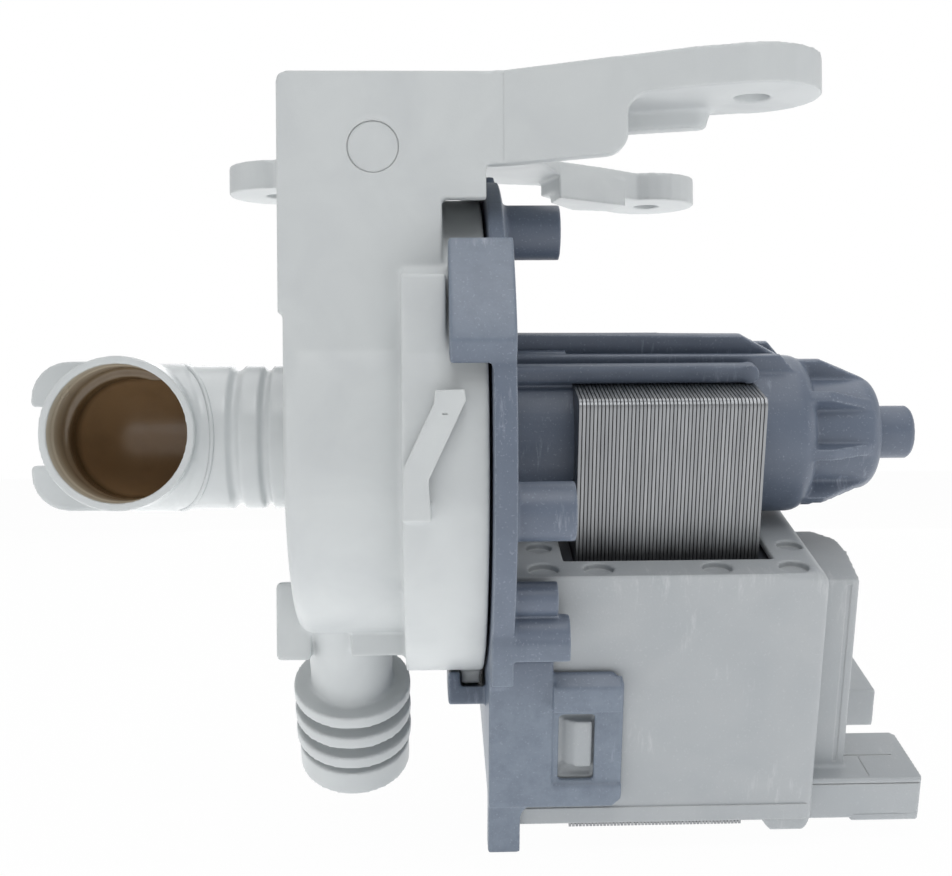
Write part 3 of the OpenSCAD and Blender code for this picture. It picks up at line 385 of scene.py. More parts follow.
@dataclass(frozen=True)
class WaterwayPlastic(MouldedPlastic):
    """Moulded plastic whose water way has a brown scale, thinner towards the mouth, with painted shade
    darkest near where the bores meet.
    """

    film_and_shade_depths: tuple[float, float] = (-14.5, 3.5)  # where the ramp's first and last colour lie
    # brown scale, whose three darkest stops are painted shade near where the bores meet
    film_and_shade: tuple[tuple[float, str], ...] = (
        (0.0, "#CAC3B3"),
        (0.36, "#A1927C"),
        (0.68, "#665138"),
        (0.8, "#564329"),
        (0.86, "#665138"),
        (1.0, "#A58764"),
    )
    corner: Point = (-63.8, 0.0, -60.0)  # where the two bores meet, from the origin
    mouth_z: float = -59.2
    mouth_end: float = -15.5  # the tint stops before the mouth's rim
    mouth_reach: float = 12.62  # just wider than the mouth's bore
    corner_reach: float = 12.9
    pipe_reach: float = 12.4  # just wider than the bore to the housing

    def _near(
        self,
        tree: bpy.types.NodeTree,
        place: bpy.types.NodeSocket,
        centre: Point,
        axes: Point,
        reach_mm: float,
    ) -> bpy.types.NodeSocket:
        """Marks what lies inside a ball or an endless tube.

        Args:
            tree: the material's node tree.
            place: the point's own coordinates.
            centre: the ball's middle, or a point on the tube's axis, in mm.
            axes: 1 for each direction that counts, and 0 for the one that a tube runs along.
            reach_mm: the radius.

        Returns:
            1 inside and 0 outside.
        """
        middle = tuple(c * MM for c in centre)
        offset = add_node(tree, "VectorMath", {"operation": "SUBTRACT", "#1": middle}, {0: place})
        across = add_node(tree, "VectorMath", {"operation": "MULTIPLY", "#1": axes}, {0: offset.outputs[0]})
        length = add_node(tree, "VectorMath", {"operation": "LENGTH"}, {0: across.outputs[0]})
        settings = {"operation": "LESS_THAN", "#1": reach_mm * MM}
        return add_node(tree, "Math", settings, {0: length.outputs["Value"]}).outputs[0]

    def _inside(
        self, tree: bpy.types.NodeTree, place: bpy.types.NodeSocket, apart: bpy.types.Node
    ) -> bpy.types.NodeSocket:
        """Marks the elbow's two bores and its round corner.

        Args:
            tree: the material's node tree.
            place: the point's own coordinates.
            apart: the same coordinates, one by one.

        Returns:
            1 in the water way and 0 elsewhere.
        """
        mouth_axis = (self.corner[0], 0.0, self.mouth_z)
        mouth = self._near(tree, place, mouth_axis, (1, 0, 1), self.mouth_reach)
        for way, limit_mm in (("LESS_THAN", 0.0), ("GREATER_THAN", self.mouth_end)):
            side = add_node(tree, "Math", {"operation": way, "#1": limit_mm * MM}, {0: apart.outputs["Y"]})
            both = add_node(tree, "Math", {"operation": "MULTIPLY"}, {0: mouth, 1: side.outputs[0]})
            mouth = both.outputs[0]
        corner = self._near(tree, place, self.corner, (1, 1, 1), self.corner_reach)
        pipe = self._near(tree, place, self.corner, (0, 1, 1), self.pipe_reach)
        right = {"operation": "GREATER_THAN", "#1": self.corner[0] * MM}
        side = add_node(tree, "Math", right, {0: apart.outputs["X"]})
        pipe = add_node(tree, "Math", {"operation": "MULTIPLY"}, {0: pipe, 1: side.outputs[0]}).outputs[0]
        inside = mouth
        for part in (corner, pipe):
            inside = add_node(tree, "Math", {"operation": "MAXIMUM"}, {0: inside, 1: part}).outputs[0]
        return inside

    def _stain(
        self, tree: bpy.types.NodeTree, place: bpy.types.NodeSocket, colour: bpy.types.NodeSocket
    ) -> bpy.types.NodeSocket:
        """Tints the water way with brown scale and painted shade, by how deep each point lies behind the
        mouth.

        Args:
            tree: the material's node tree.
            place: the point's own coordinates.
            colour: the plain plastic's colour.

        Returns:
            The tinted colour.
        """
        apart = add_node(tree, "SeparateXYZ", {}, {0: place})
        inside = self._inside(tree, place, apart)
        cloud = add_node(
            tree, "TexNoise", {"Scale": 1 / (FILM_CLOUD_MM * MM), "Detail": 3.0}, {"Vector": place}
        )
        depth = add_node(
            tree,
            "MapRange",
            {"From Min": self.film_and_shade_depths[0] * MM, "From Max": self.film_and_shade_depths[1] * MM},
            {"Value": apart.outputs["Y"]},
        )
        uneven = add_node(
            tree, "Math", {"operation": "MULTIPLY_ADD", "#1": 0.1, "#2": -0.05}, {0: cloud.outputs["Fac"]}
        )
        share = add_node(
            tree, "Math", {"operation": "ADD"}, {0: depth.outputs["Result"], 1: uneven.outputs[0]}
        )
        # painted shade: the ramp's darkest stops fall near where the bores meet
        brown = add_node(tree, "ValToRGB", {}, {0: share.outputs[0]})
        stops = brown.color_ramp.elements
        stops[0].color = linear(self.film_and_shade[0][1])
        stops[1].position = self.film_and_shade[-1][0]
        stops[1].color = linear(self.film_and_shade[-1][1])
        for position, tone in self.film_and_shade[1:-1]:
            stops.new(position).color = linear(tone)
        sources = {0: inside, 6: colour, 7: brown.outputs[0]}
        return add_node(tree, "Mix", {"data_type": "RGBA"}, sources).outputs[2]


@dataclass(frozen=True)
class HandledPlastic(MouldedPlastic):
    """Moulded plastic that is worn pale where it stands out furthest from the rotor's axis."""

    handled: str = "#717C8A"  # colour of what is rubbed most
    from_mm: float = 46.0  # distance from the axis where the rubbing starts
    to_mm: float = 52.0  # and where it is full

    def _stain(
        self, tree: bpy.types.NodeTree, place: bpy.types.NodeSocket, colour: bpy.types.NodeSocket
    ) -> bpy.types.NodeSocket:
        """Pales what hands and boxes rub against.

        Args:
            tree: the material's node tree.
            place: the point's own coordinates.
            colour: the plain plastic's colour.

        Returns:
            The worn colour.
        """
        axis = {"operation": "SUBTRACT", "#1": (0, 0, AXIS_Z)}
        offset = add_node(tree, "VectorMath", axis, {0: place})
        sideways = {"operation": "MULTIPLY", "#1": (0, 1, 1)}
        across = add_node(tree, "VectorMath", sideways, {0: offset.outputs[0]})
        reach = add_node(tree, "VectorMath", {"operation": "LENGTH"}, {0: across.outputs[0]})
        share = add_node(
            tree,
            "MapRange",
            {"From Min": self.from_mm * MM, "From Max": self.to_mm * MM},
            {"Value": reach.outputs["Value"]},
        )
        patches = add_node(
            tree,
            "TexNoise",
            {"Scale": 1 / (RUB_PATCH_MM * MM), "Detail": 5.0, "Roughness": 0.7},
            {"Vector": place},
        )
        patchy = add_node(
            tree,
            "MapRange",
            {"From Min": 0.35, "From Max": 0.6, "To Min": 0.55, "To Max": 1.0},
            {"Value": patches.outputs["Fac"]},
        )
        amount = add_node(
            tree,
            "Math",
            {"operation": "MULTIPLY"},
            {0: share.outputs["Result"], 1: patchy.outputs["Result"]},
        )
        settings = {"data_type": "RGBA", "#7": linear(self.handled)}
        return add_node(tree, "Mix", settings, {0: amount.outputs[0], 6: colour}).outputs[2]


@dataclass(frozen=True)
class Metal:
    """Bare or plated metal: its colour, how rough it is, and fine lines from how it was made."""

    name: str
    base: str
    shade: str  # colour of the lines
    roughness: float
    line_mm: float = 0.3  # the lines, coarser than real ones so that they show
    stretch: Point = (0.05, 1.0, 1.0)  # the lines run along the directions with small values
    edge_mm: float = 0.12
    line_depth_mm: float = 0.03

    def material(self) -> bpy.types.Material:
        """Gives the finish's one material."""
        return shared(self.name, self._build)

    def _tone(
        self, tree: bpy.types.NodeTree, place: bpy.types.NodeSocket, colour: bpy.types.NodeSocket
    ) -> bpy.types.NodeSocket:
        """Leaves a plain metal as it is; a stack of sheets paints shade into its grooves here."""
        return colour

    def _build(self) -> bpy.types.Material:
        """Builds the nodes: drawn lines in colour, roughness and bump.

        Returns:
            The material.
        """
        made, tree = new_material(self.name)
        place = add_node(tree, "TexCoord").outputs["Object"]
        along = add_node(tree, "Mapping", {"Scale": self.stretch}, {"Vector": place})
        lines = add_node(
            tree,
            "TexNoise",
            {"Scale": 1 / (self.line_mm * MM), "Detail": 4.0, "Roughness": 0.65},
            {"Vector": along.outputs[0]},
        )
        colour = add_node(
            tree,
            "Mix",
            {"data_type": "RGBA", "#6": linear(self.shade), "#7": linear(self.base)},
            {0: lines.outputs["Fac"]},
        )
        tone = self._tone(tree, place, colour.outputs[2])
        gloss = add_node(
            tree,
            "MapRange",
            {"To Min": self.roughness - 0.08, "To Max": self.roughness + 0.12},
            {"Value": lines.outputs["Fac"]},
        )
        soft = add_node(tree, "Bevel", {"samples": 4, "Radius": self.edge_mm * MM})
        bump = add_node(
            tree,
            "Bump",
            {"Strength": 0.25, "Distance": self.line_depth_mm * MM},
            {"Height": lines.outputs["Fac"], "Normal": soft.outputs["Normal"]},
        )
        shader = add_node(
            tree,
            "BsdfPrincipled",
            {"Metallic": 1.0},
            {"Base Color": tone, "Roughness": gloss.outputs["Result"], "Normal": bump.outputs["Normal"]},
        )
        add_node(tree, "OutputMaterial", {}, {"Surface": shader.outputs[0]})
        return made


@dataclass(frozen=True)
class StackedSteel(Metal):
    """Punched steel sheets side by side: bright cut edges, with painted shade in the grooves between them."""

    # painted shade in the grooves between the sheets
    groove_shade: str = "#2B2826"
    first_mm: float = 17.0  # where the first sheet starts
    pitch_mm: float = 0.66
    sheet_mm: float = 0.51  # the rest of the pitch is groove

    def _tone(
        self, tree: bpy.types.NodeTree, place: bpy.types.NodeSocket, colour: bpy.types.NodeSocket
    ) -> bpy.types.NodeSocket:
        """Paints shade into what lies between two sheets, and gives each sheet a tone of its own.

        Args:
            tree: the material's node tree.
            place: the point's own coordinates.
            colour: the bare steel's colour.

        Returns:
            The colour of sheets and painted groove shade.
        """
        along = add_node(tree, "SeparateXYZ", {}, {0: place}).outputs["X"]
        first = add_node(tree, "Math", {"operation": "SUBTRACT", "#1": self.first_mm * MM}, {0: along})
        pitch = {"operation": "DIVIDE", "#1": self.pitch_mm * MM}
        count = add_node(tree, "Math", pitch, {0: first.outputs[0]})
        share = add_node(tree, "Math", {"operation": "FRACT"}, {0: count.outputs[0]})
        sheet_share = {"operation": "GREATER_THAN", "#1": self.sheet_mm / self.pitch_mm}
        between = add_node(tree, "Math", sheet_share, {0: share.outputs[0]})
        sheet = add_node(tree, "Math", {"operation": "FLOOR"}, {0: count.outputs[0]})
        tint = add_node(tree, "TexWhiteNoise", {"noise_dimensions": "1D"}, {"W": sheet.outputs[0]})
        dim = add_node(tree, "MapRange", {"To Min": 0.0, "To Max": 0.45}, {"Value": tint.outputs["Value"]})
        shade = {"data_type": "RGBA", "#7": linear(self.shade)}
        varied = add_node(tree, "Mix", shade, {0: dim.outputs["Result"], 6: colour})
        # painted shade between the sheets
        groove = {"data_type": "RGBA", "#7": linear(self.groove_shade)}
        return add_node(tree, "Mix", groove, {0: between.outputs[0], 6: varied.outputs[2]}).outputs[2]


# Housing and pawl: moulded glass-filled polypropylene, a pale cool grey with a satin sheen
PALE_PP = MouldedPlastic(
    "pale_polypropylene",
    base="#C3C7C8",
    flow="#BBBFC1",
    pale_marks_and_highlight="#DDE0E0",
    roughness=0.45,
    edge_mm=0.6,
    grain_mm=0.55,
    grain_depth_mm=0.05,
    ior=1.49,
)
# Elbow: the same plastic from a finer mould, which shines more, and its water way is brown with scale and
# painted shade in the bend
ELBOW_PP = WaterwayPlastic(
    "elbow_polypropylene",
    base="#C4C8C9",
    flow="#BDC1C3",
    pale_marks_and_highlight="#DEE1E1",
    roughness=0.24,
    edge_mm=0.5,
    grain_mm=0.55,
    grain_depth_mm=0.04,
    ior=1.49,
)
# Casing and bearing plate: moulded blue-grey glass-filled polypropylene, satin, whose pale
# fibres, scuffs and worn edges with their painted highlight stand out against its dark colour
SLATE_PP = HandledPlastic(
    "slate_polypropylene",
    base="#5C6676",
    flow="#525C6C",
    pale_marks_and_highlight="#A3AAB6",
    roughness=0.42,
    edge_mm=0.5,
    grain_mm=0.5,
    grain_depth_mm=0.07,
    ior=1.49,
    scuffs=0.45,
    flecks=0.22,
    edge_wear_and_highlight=0.95,
)
# Coil cover: moulded light grey glass-filled PBT, matt, with faint pale rubs from handling
COVER_PBT = MouldedPlastic(
    "cover_pbt",
    base="#A3A7AA",
    flow="#9BA0A4",
    pale_marks_and_highlight="#C9CCCD",
    roughness=0.5,
    edge_mm=0.5,
    grain_mm=0.4,
    grain_depth_mm=0.07,
    ior=1.55,
    scuffs=0.4,
    flecks=0.16,
)
# Bobbins: moulded black PBT, dark and even, with a soft sheen
BOBBIN_PBT = MouldedPlastic(
    "bobbin_pbt",
    base="#3B3D42",
    flow="#33353A",
    pale_marks_and_highlight="#5A5D63",
    roughness=0.4,
    edge_mm=0.3,
    grain_mm=0.4,
    grain_depth_mm=0.04,
    ior=1.55,
)
# Impeller, rotor carrier and drive dog: moulded mid-grey polypropylene, smooth and satin
IMPELLER_PP = MouldedPlastic(
    "impeller_polypropylene",
    base="#8E959B",
    flow="#858C92",
    pale_marks_and_highlight="#AFB5BA",
    roughness=0.42,
    edge_mm=0.3,
    grain_mm=0.4,
    grain_depth_mm=0.04,
    ior=1.49,
)
# Thrust washers and the heat switch's sleeve: white PTFE, waxy, with hardly any grain
WASHER_PTFE = MouldedPlastic(
    "washer_ptfe",
    base="#E2E0D8",
    flow="#DAD8D0",
    pale_marks_and_highlight="#EFEDE6",
    roughness=0.5,
    edge_mm=0.1,
    grain_mm=0.3,
    grain_depth_mm=0.02,
    ior=1.35,
)
# Seals and bearing cups: moulded nitrile rubber, black and dull, with the grey bloom of talc
SEAL_NBR = MouldedPlastic(
    "seal_nitrile",
    base="#26272A",
    flow="#303135",
    pale_marks_and_highlight="#3C3E42",
    roughness=0.75,
    edge_mm=0.1,
    grain_mm=0.3,
    grain_depth_mm=0.06,
    ior=1.52,
)
# Bearing bushes: pressed and lapped carbon, dark grey with the dull gleam of graphite
BUSH_CARBON = MouldedPlastic(
    "bush_carbon",
    base="#33363B",
    flow="#3C3F44",
    pale_marks_and_highlight="#55585E",
    roughness=0.35,
    edge_mm=0.15,
    grain_mm=0.2,
    grain_depth_mm=0.03,
    ior=1.8,
)
# Ring magnet: sintered and ground ferrite, charcoal and matt as fired clay
FERRITE = MouldedPlastic(
    "magnet_ferrite",
    base="#3A3A3C",
    flow="#333335",
    pale_marks_and_highlight="#58585B",
    roughness=0.5,
    edge_mm=0.2,
    grain_mm=0.25,
    grain_depth_mm=0.04,
    ior=2.0,
)
# Shaft: ground stainless steel, bright, with fine rings round it
SHAFT_STEEL = Metal("shaft_steel", "#C9CBCD", "#B4B6B9", 0.22, line_mm=0.2, stretch=(1.0, 0.05, 0.05))
# Stator core: punched silicon steel, whose cut edges gleam in grey stripes that differ a little, with painted
# shade between them
CORE_STEEL = StackedSteel("core_steel", "#A0A2A4", "#6C6E71", 0.34, line_mm=0.5, stretch=(1.0, 0.2, 0.05))
# Windings: enamelled copper wire, red-brown and shiny, with the lines of its turns
COPPER_WIRE = Metal("winding_copper", "#B26A3C", "#8C4D29", 0.35, stretch=(1.0, 1.0, 0.02))
# Terminal blades: stamped brass with a tin plating, silvery and a little dull, with lines along them
TINNED_BRASS = Metal("terminal_brass", "#C8C9C6", "#AEB0AE", 0.3)


# Tools that act as by hand


def alone(piece: bpy.types.Object) -> None:
    """Selects one piece and nothing else, and makes it the active one.

    Args:
        piece: the piece.
    """
    if bpy.context.mode != "OBJECT":
        bpy.ops.object.mode_set(mode="OBJECT")
    bpy.ops.object.select_all(action="DESELECT")
    piece.select_set(True)
    bpy.context.view_layer.objects.active = piece


def apply_modifier(piece: bpy.types.Object, kind: str, **settings: object) -> None:
    """Adds a modifier to a piece and applies it.

    Args:
        piece: the piece.
        kind: the modifier's type.
        **settings: its properties.
    """
    alone(piece)
    added = piece.modifiers.new(kind.lower(), kind)
    for name, value in settings.items():
        setattr(added, name, value)
    bpy.ops.object.modifier_apply(modifier=added.name)


def finished(piece: bpy.types.Object, finish: MouldedPlastic | Metal, body: Body) -> None:
    """Puts a piece's place into its mesh, shades it, gives it its finish and its body, and reports it.

    Args:
        piece: the piece.
        finish: its finish.
        body: the body that it rides on.
    """
    alone(piece)
    bpy.ops.object.transform_apply(location=True, rotation=True, scale=True)
    bpy.ops.object.shade_smooth_by_angle(angle=SMOOTH_ANGLE)
    piece.data.materials.clear()
    piece.data.materials.append(finish.material())
    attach(piece, body.value)
    log.info("%s: %s, on %s", piece.name, finish.name, body.value)


def settle(piece: bpy.types.Object, turn: Turn) -> bpy.types.Object:
    """Turns a piece that was made about the rotor's axis into its place, and puts the place into its mesh.

    Args:
        piece: the piece.
        turn: the directions that it was made in.

    Returns:
        The piece.
    """
    alone(piece)
    place = Matrix.Translation((0, 0, AXIS_Z)) @ Matrix.Rotation(turn.value, 4, "X")
    piece.matrix_world = place @ piece.matrix_basis.copy()
    bpy.ops.object.transform_apply(location=True, rotation=True, scale=True)
    return piece


def round_edges(piece: bpy.types.Object, width_mm: float) -> None:
    """Rounds every edge of a piece in edit mode.

    Args:
        piece: the piece.
        width_mm: how far the rounding reaches from each edge.
    """
    alone(piece)
    bpy.ops.object.mode_set(mode="EDIT")
    bpy.ops.mesh.select_all(action="SELECT")
    bpy.ops.mesh.bevel(offset=width_mm * MM, segments=3, affect="EDGES", clamp_overlap=True)
    bpy.ops.object.mode_set(mode="OBJECT")


def block(low: Point, high: Point, corner_mm: float = 0.0, turn: Turn = Turn.MOTOR) -> bpy.types.Object:
    """Adds a block from its lowest to its highest corner, in mm from the rotor's axis.

    Args:
        low: its lowest corner.
        high: its highest corner.
        corner_mm: the rounding of its edges, or 0 for sharp ones.
        turn: the directions that its corners are given in.

    Returns:
        The block.
    """
    bpy.ops.object.select_all(action="DESELECT")
    middle = [(a + b) / 2 * MM for a, b in zip(low, high)]
    sides = [(b - a) * MM for a, b in zip(low, high)]
    bpy.ops.mesh.primitive_cube_add(size=1, location=middle, scale=sides)
    piece = settle(bpy.context.object, turn)
    if corner_mm:
        round_edges(piece, corner_mm)
    return piece


def rod(
    start: Point, end: Point, radius_mm: float, turn: Turn = Turn.MOTOR, sides: int = 48
) -> bpy.types.Object:
    """Adds a round rod between two points, in mm from the rotor's axis.

    Args:
        start: the middle of its one end.
        end: the middle of its other end.
        radius_mm: its radius.
        turn: the directions that its ends are given in.
        sides: the number of faces round it.

    Returns:
        The rod.
    """
    bpy.ops.object.select_all(action="DESELECT")
    line = Vector(end) - Vector(start)
    middle = (Vector(end) + Vector(start)) / 2 * MM
    bpy.ops.mesh.primitive_cylinder_add(
        vertices=sides,
        radius=radius_mm * MM,
        depth=line.length * MM,
        location=middle,
        rotation=line.to_track_quat("Z", "Y").to_euler(),
    )
    return settle(bpy.context.object, turn)


def carve(piece: bpy.types.Object, cutters: list[bpy.types.Object]) -> None:
    """Cuts shapes out of a piece, crisp as a mould's insert leaves them, and deletes the cutters.

    Args:
        piece: the piece.
        cutters: the shapes, which lie clear of each other.
    """
    tool = cutters[0]
    alone(tool)
    for other in cutters[1:]:
        other.select_set(True)
    if len(cutters) > 1:
        bpy.ops.object.join()
    apply_modifier(piece, "BOOLEAN", operation="DIFFERENCE", solver="MANIFOLD", object=tool)
    bpy.data.objects.remove(tool)


def soften_edges(piece: bpy.types.Object, boxes: list[Box], width_mm: float) -> None:
    """Rounds the edges that lie inside thin boxes, as a mould's radius does.

    Args:
        piece: the piece, with merged points.
        boxes: the boxes, in mm in the motor's directions.
        width_mm: the rounding's width.
    """
    place = Matrix.Translation((0, 0, AXIS_Z)) @ Matrix.Rotation(MOTOR_TILT, 4, "X")
    alone(piece)
    bpy.ops.object.mode_set(mode="EDIT")
    bpy.ops.mesh.select_mode(type="EDGE")
    bpy.ops.mesh.select_all(action="SELECT")
    bpy.ops.mesh.dissolve_limited(angle_limit=FLAT_ANGLE)
    bpy.ops.mesh.select_all(action="DESELECT")
    bpy.ops.object.mode_set(mode="OBJECT")
    points = [(place.inverted() @ vertex.co) / MM for vertex in piece.data.vertices]
    found = 0
    for low, high in boxes:
        inside = [all(a <= c <= b for a, c, b in zip(low, point, high)) for point in points]
        for edge in piece.data.edges:
            if all(inside[i] for i in edge.vertices):
                edge.select = True
                found += 1
    log.info("%s: %d edges softened", piece.name, found)
    bpy.ops.object.mode_set(mode="EDIT")
    if found:
        bpy.ops.mesh.bevel(offset=width_mm * MM, segments=5, affect="EDGES", clamp_overlap=True)
    bpy.ops.mesh.select_mode(type="VERT")
    bpy.ops.object.mode_set(mode="OBJECT")


def soft_moulding(
    node: str,
    name: str,
    grid_mm: float,
    most_triangles: int,
    soft_boxes: dict[float, list[Box]] | None = None,
) -> bpy.types.Object:
    """Makes a copy of a solid with the round edges and soft inner corners of a moulding.

    Args:
        node: the solid's name.
        name: the new piece's name.
        grid_mm: the size of the grid that the copy is rebuilt on.
        most_triangles: the number of triangles that it is thinned to.
        soft_boxes: boxes round edges that are rounder than the others, by the rounding's width in mm.

    Returns:
        The piece, which stands for the solid.
    """
    piece = bpy.data.objects.new(name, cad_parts[node].data.copy())
    bpy.context.scene.collection.objects.link(piece)
    alone(piece)
    bpy.ops.object.mode_set(mode="EDIT")
    bpy.ops.mesh.select_all(action="SELECT")
    bpy.ops.mesh.remove_doubles(threshold=MERGE_REACH)
    bpy.ops.object.mode_set(mode="OBJECT")
    for width_mm, boxes in (soft_boxes or {}).items():
        soften_edges(piece, boxes, width_mm)
    apply_modifier(piece, "REMESH", mode="VOXEL", voxel_size=grid_mm * MM, adaptivity=0.0)
    apply_modifier(piece, "SMOOTH", factor=0.5, iterations=RELAX_PASSES)
    triangles = sum(len(face.vertices) - 2 for face in piece.data.polygons)
    if triangles > most_triangles:
        apply_modifier(piece, "DECIMATE", ratio=most_triangles / triangles)
    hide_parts(node)
    log.info("%s: %d faces, from %d triangles", name, len(piece.data.polygons), triangles)
    return piece


def dress(finish: MouldedPlastic | Metal, *nodes: str) -> None:
    """Gives solids that stay their finish.

    Args:
        finish: the finish.
        *nodes: the solids' names.
    """
    for node in nodes:
        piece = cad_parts[node]
        piece.data.materials.clear()
        piece.data.materials.append(finish.material())
        log.info("%s: %s", node, finish.name)


# Sub-assemblies


@dataclass
class Volute:
    """The pale housing: chamber, bayonet ring, pedestal with its feet and the barbed outlet, and the pawl."""

    grid_mm: float = 0.4
    most_triangles: int = 185000
    ejector: Point = (-17.8, -33.6, 47.5)  # middle of the ejector's mark on the box front
    ejector_r: float = 4.2
    ejector_gap: float = 0.09  # width of the ring line round the mark
    ejector_sunk: float = 0.15  # depth of the ring line
    ejector_proud: float = 0.1
    ejector_root: float = 0.5  # how far the mark reaches into the wall
    ejector_edge: float = 0.1
    round_sides: int = 96
    cut_start: float = 1.5  # the cutters start this far in front of the box front
    seam_x: float = 3.7  # line between the box and the front arm
    seam_half: float = 0.07
    seam_ends: tuple[float, float] = (43.5, 59.4)
    seam_front: float = 1.6  # from the box front to where its cutter starts
    seam_bottom: float = 0.57  # and to the line's bottom, because the arm stands proud of the box
    pawl_grid_mm: float = 0.2
    pawl_most_triangles: int = 40000
    pawl_mark: Box = ((-6.9, -47.4, 3.2), (-6.1, -46.5, 3.45))  # a small notch on the tongue

    def build(self) -> None:
        """Builds the housing with its lines, the ejector's mark and the pawl."""
        housing = soft_moulding("volute_housing", "volute_moulding", self.grid_mm, self.most_triangles)
        carve(housing, [self.ring_line(), self.seam()])
        finished(housing, PALE_PP, Body.PUMP)
        self.ejector_mark()
        pawl = soft_moulding("locking_pawl", "pawl_tongue", self.pawl_grid_mm, self.pawl_most_triangles)
        carve(pawl, [block(*self.pawl_mark, turn=Turn.UPRIGHT)])
        finished(pawl, PALE_PP, Body.PAWL)

    def ring_line(self) -> bpy.types.Object:
        """Makes the cutter of the ring line round the ejector's mark.

        Returns:
            The cutter.
        """
        x, front, z = self.ejector
        start = (x, front - self.cut_start, z)
        end = (x, front + self.ejector_sunk, z)
        return rod(start, end, self.ejector_r + self.ejector_gap, Turn.UPRIGHT, self.round_sides)

    def seam(self) -> bpy.types.Object:
        """Makes the cutter of the line between the box and the front arm.

        Returns:
            The cutter.
        """
        front = self.ejector[1]
        low = (self.seam_x - self.seam_half, front - self.seam_front, self.seam_ends[0])
        high = (self.seam_x + self.seam_half, front - self.seam_bottom, self.seam_ends[1])
        return block(low, high, turn=Turn.UPRIGHT)

    def ejector_mark(self) -> None:
        """Sets the ejector's round mark into its ring line."""
        x, front, z = self.ejector
        inner = (x, front + self.ejector_root, z)
        outer = (x, front - self.ejector_proud, z)
        mark = rod(inner, outer, self.ejector_r, Turn.UPRIGHT, self.round_sides)
        round_edges(mark, self.ejector_edge)
        mark.name = "ejector_mark"
        finished(mark, PALE_PP, Body.PUMP)


@dataclass
class Elbow:
    """The inlet elbow with its ears, pushed into the housing."""

    grid_mm: float = 0.34
    most_triangles: int = 185000
    leg_r: float = 13.4
    bead_x: float = -55.4  # of the bead between the legs, at the top and bottom of the leg
    bead_swing: float = 7.9  # how far the bead runs to the right at the front
    bead_r: float = 0.42
    bead_end_y: float = -0.3  # the bead stays in front of this
    bead_sides: tuple[int, int] = (120, 12)  # faces along the bead and round it

    def build(self) -> None:
        """Builds the elbow and the bead where its legs meet, and dresses its seal."""
        elbow = soft_moulding("inlet_elbow", "elbow_moulding", self.grid_mm, self.most_triangles)
        finished(elbow, ELBOW_PP, Body.PUMP)
        self.bead()
        dress(SEAL_NBR, "elbow_seal")

    def bead(self) -> None:
        """Lays a slanted ring round the leg, where the legs meet, and keeps its front half."""
        slant = math.atan2(self.bead_swing, self.leg_r)
        along, around = self.bead_sides
        bpy.ops.object.select_all(action="DESELECT")
        bpy.ops.mesh.primitive_torus_add(
            major_radius=self.leg_r * MM,
            minor_radius=self.bead_r * MM,
            major_segments=along,
            minor_segments=around,
            location=(self.bead_x * MM, 0, 0),
            rotation=(0, math.radians(90), slant),
        )
        bpy.context.object.scale = (1, 1 / math.cos(slant), 1)
        ring = settle(bpy.context.object, Turn.UPRIGHT)
        ring.name = "elbow_bead"
        bpy.ops.object.mode_set(mode="EDIT")
        bpy.ops.mesh.select_all(action="SELECT")
        cut = (self.bead_x * MM, self.bead_end_y * MM, AXIS_Z)
        bpy.ops.mesh.bisect(plane_co=cut, plane_no=(0, 1, 0), use_fill=True, clear_outer=True)
        bpy.ops.object.mode_set(mode="OBJECT")
        finished(ring, ELBOW_PP, Body.PUMP)


@dataclass
class Motor:
    """The motor's casing with its rotor, bearings and stator."""

    grid_mm: float = 0.34
    most_triangles: int = 190000
    pad: Box = ((4.6, -4.3, 12.5), (16.3, -1.6, 16.9))  # beside the can's rail
    pad_edge: float = 0.4

    def build(self) -> None:
        """Builds the casing and its pad, and dresses the solids that stay."""
        casing = soft_moulding("motor_casing", "casing_moulding", self.grid_mm, self.most_triangles)
        finished(casing, SLATE_PP, Body.PUMP)
        pad = block(*self.pad, self.pad_edge)
        pad.name = "rail_pad"
        finished(pad, SLATE_PP, Body.PUMP)
        self.dress_solids()

    def dress_solids(self) -> None:
        """Dresses the seals, bearings, coils, core and rotor, most of which the casing hides."""
        dress(SEAL_NBR, "body_seal", "plate_seal", "front_bearing_mount", "rear_bearing_mount")
        dress(BUSH_CARBON, "front_bearing", "rear_bearing")
        dress(BOBBIN_PBT, "front_bobbin", "rear_bobbin")
        dress(COPPER_WIRE, "front_winding", "rear_winding")
        dress(SLATE_PP, "bearing_plate")
        dress(CORE_STEEL, "stator_laminations")
        dress(SHAFT_STEEL, "rotor_shaft")
        dress(IMPELLER_PP, "rotor_carrier", "drive_dog", "impeller", "hub_cap")
        dress(FERRITE, "rotor_magnet")
        dress(WASHER_PTFE, "thrust_washers", "thermal_cutout")


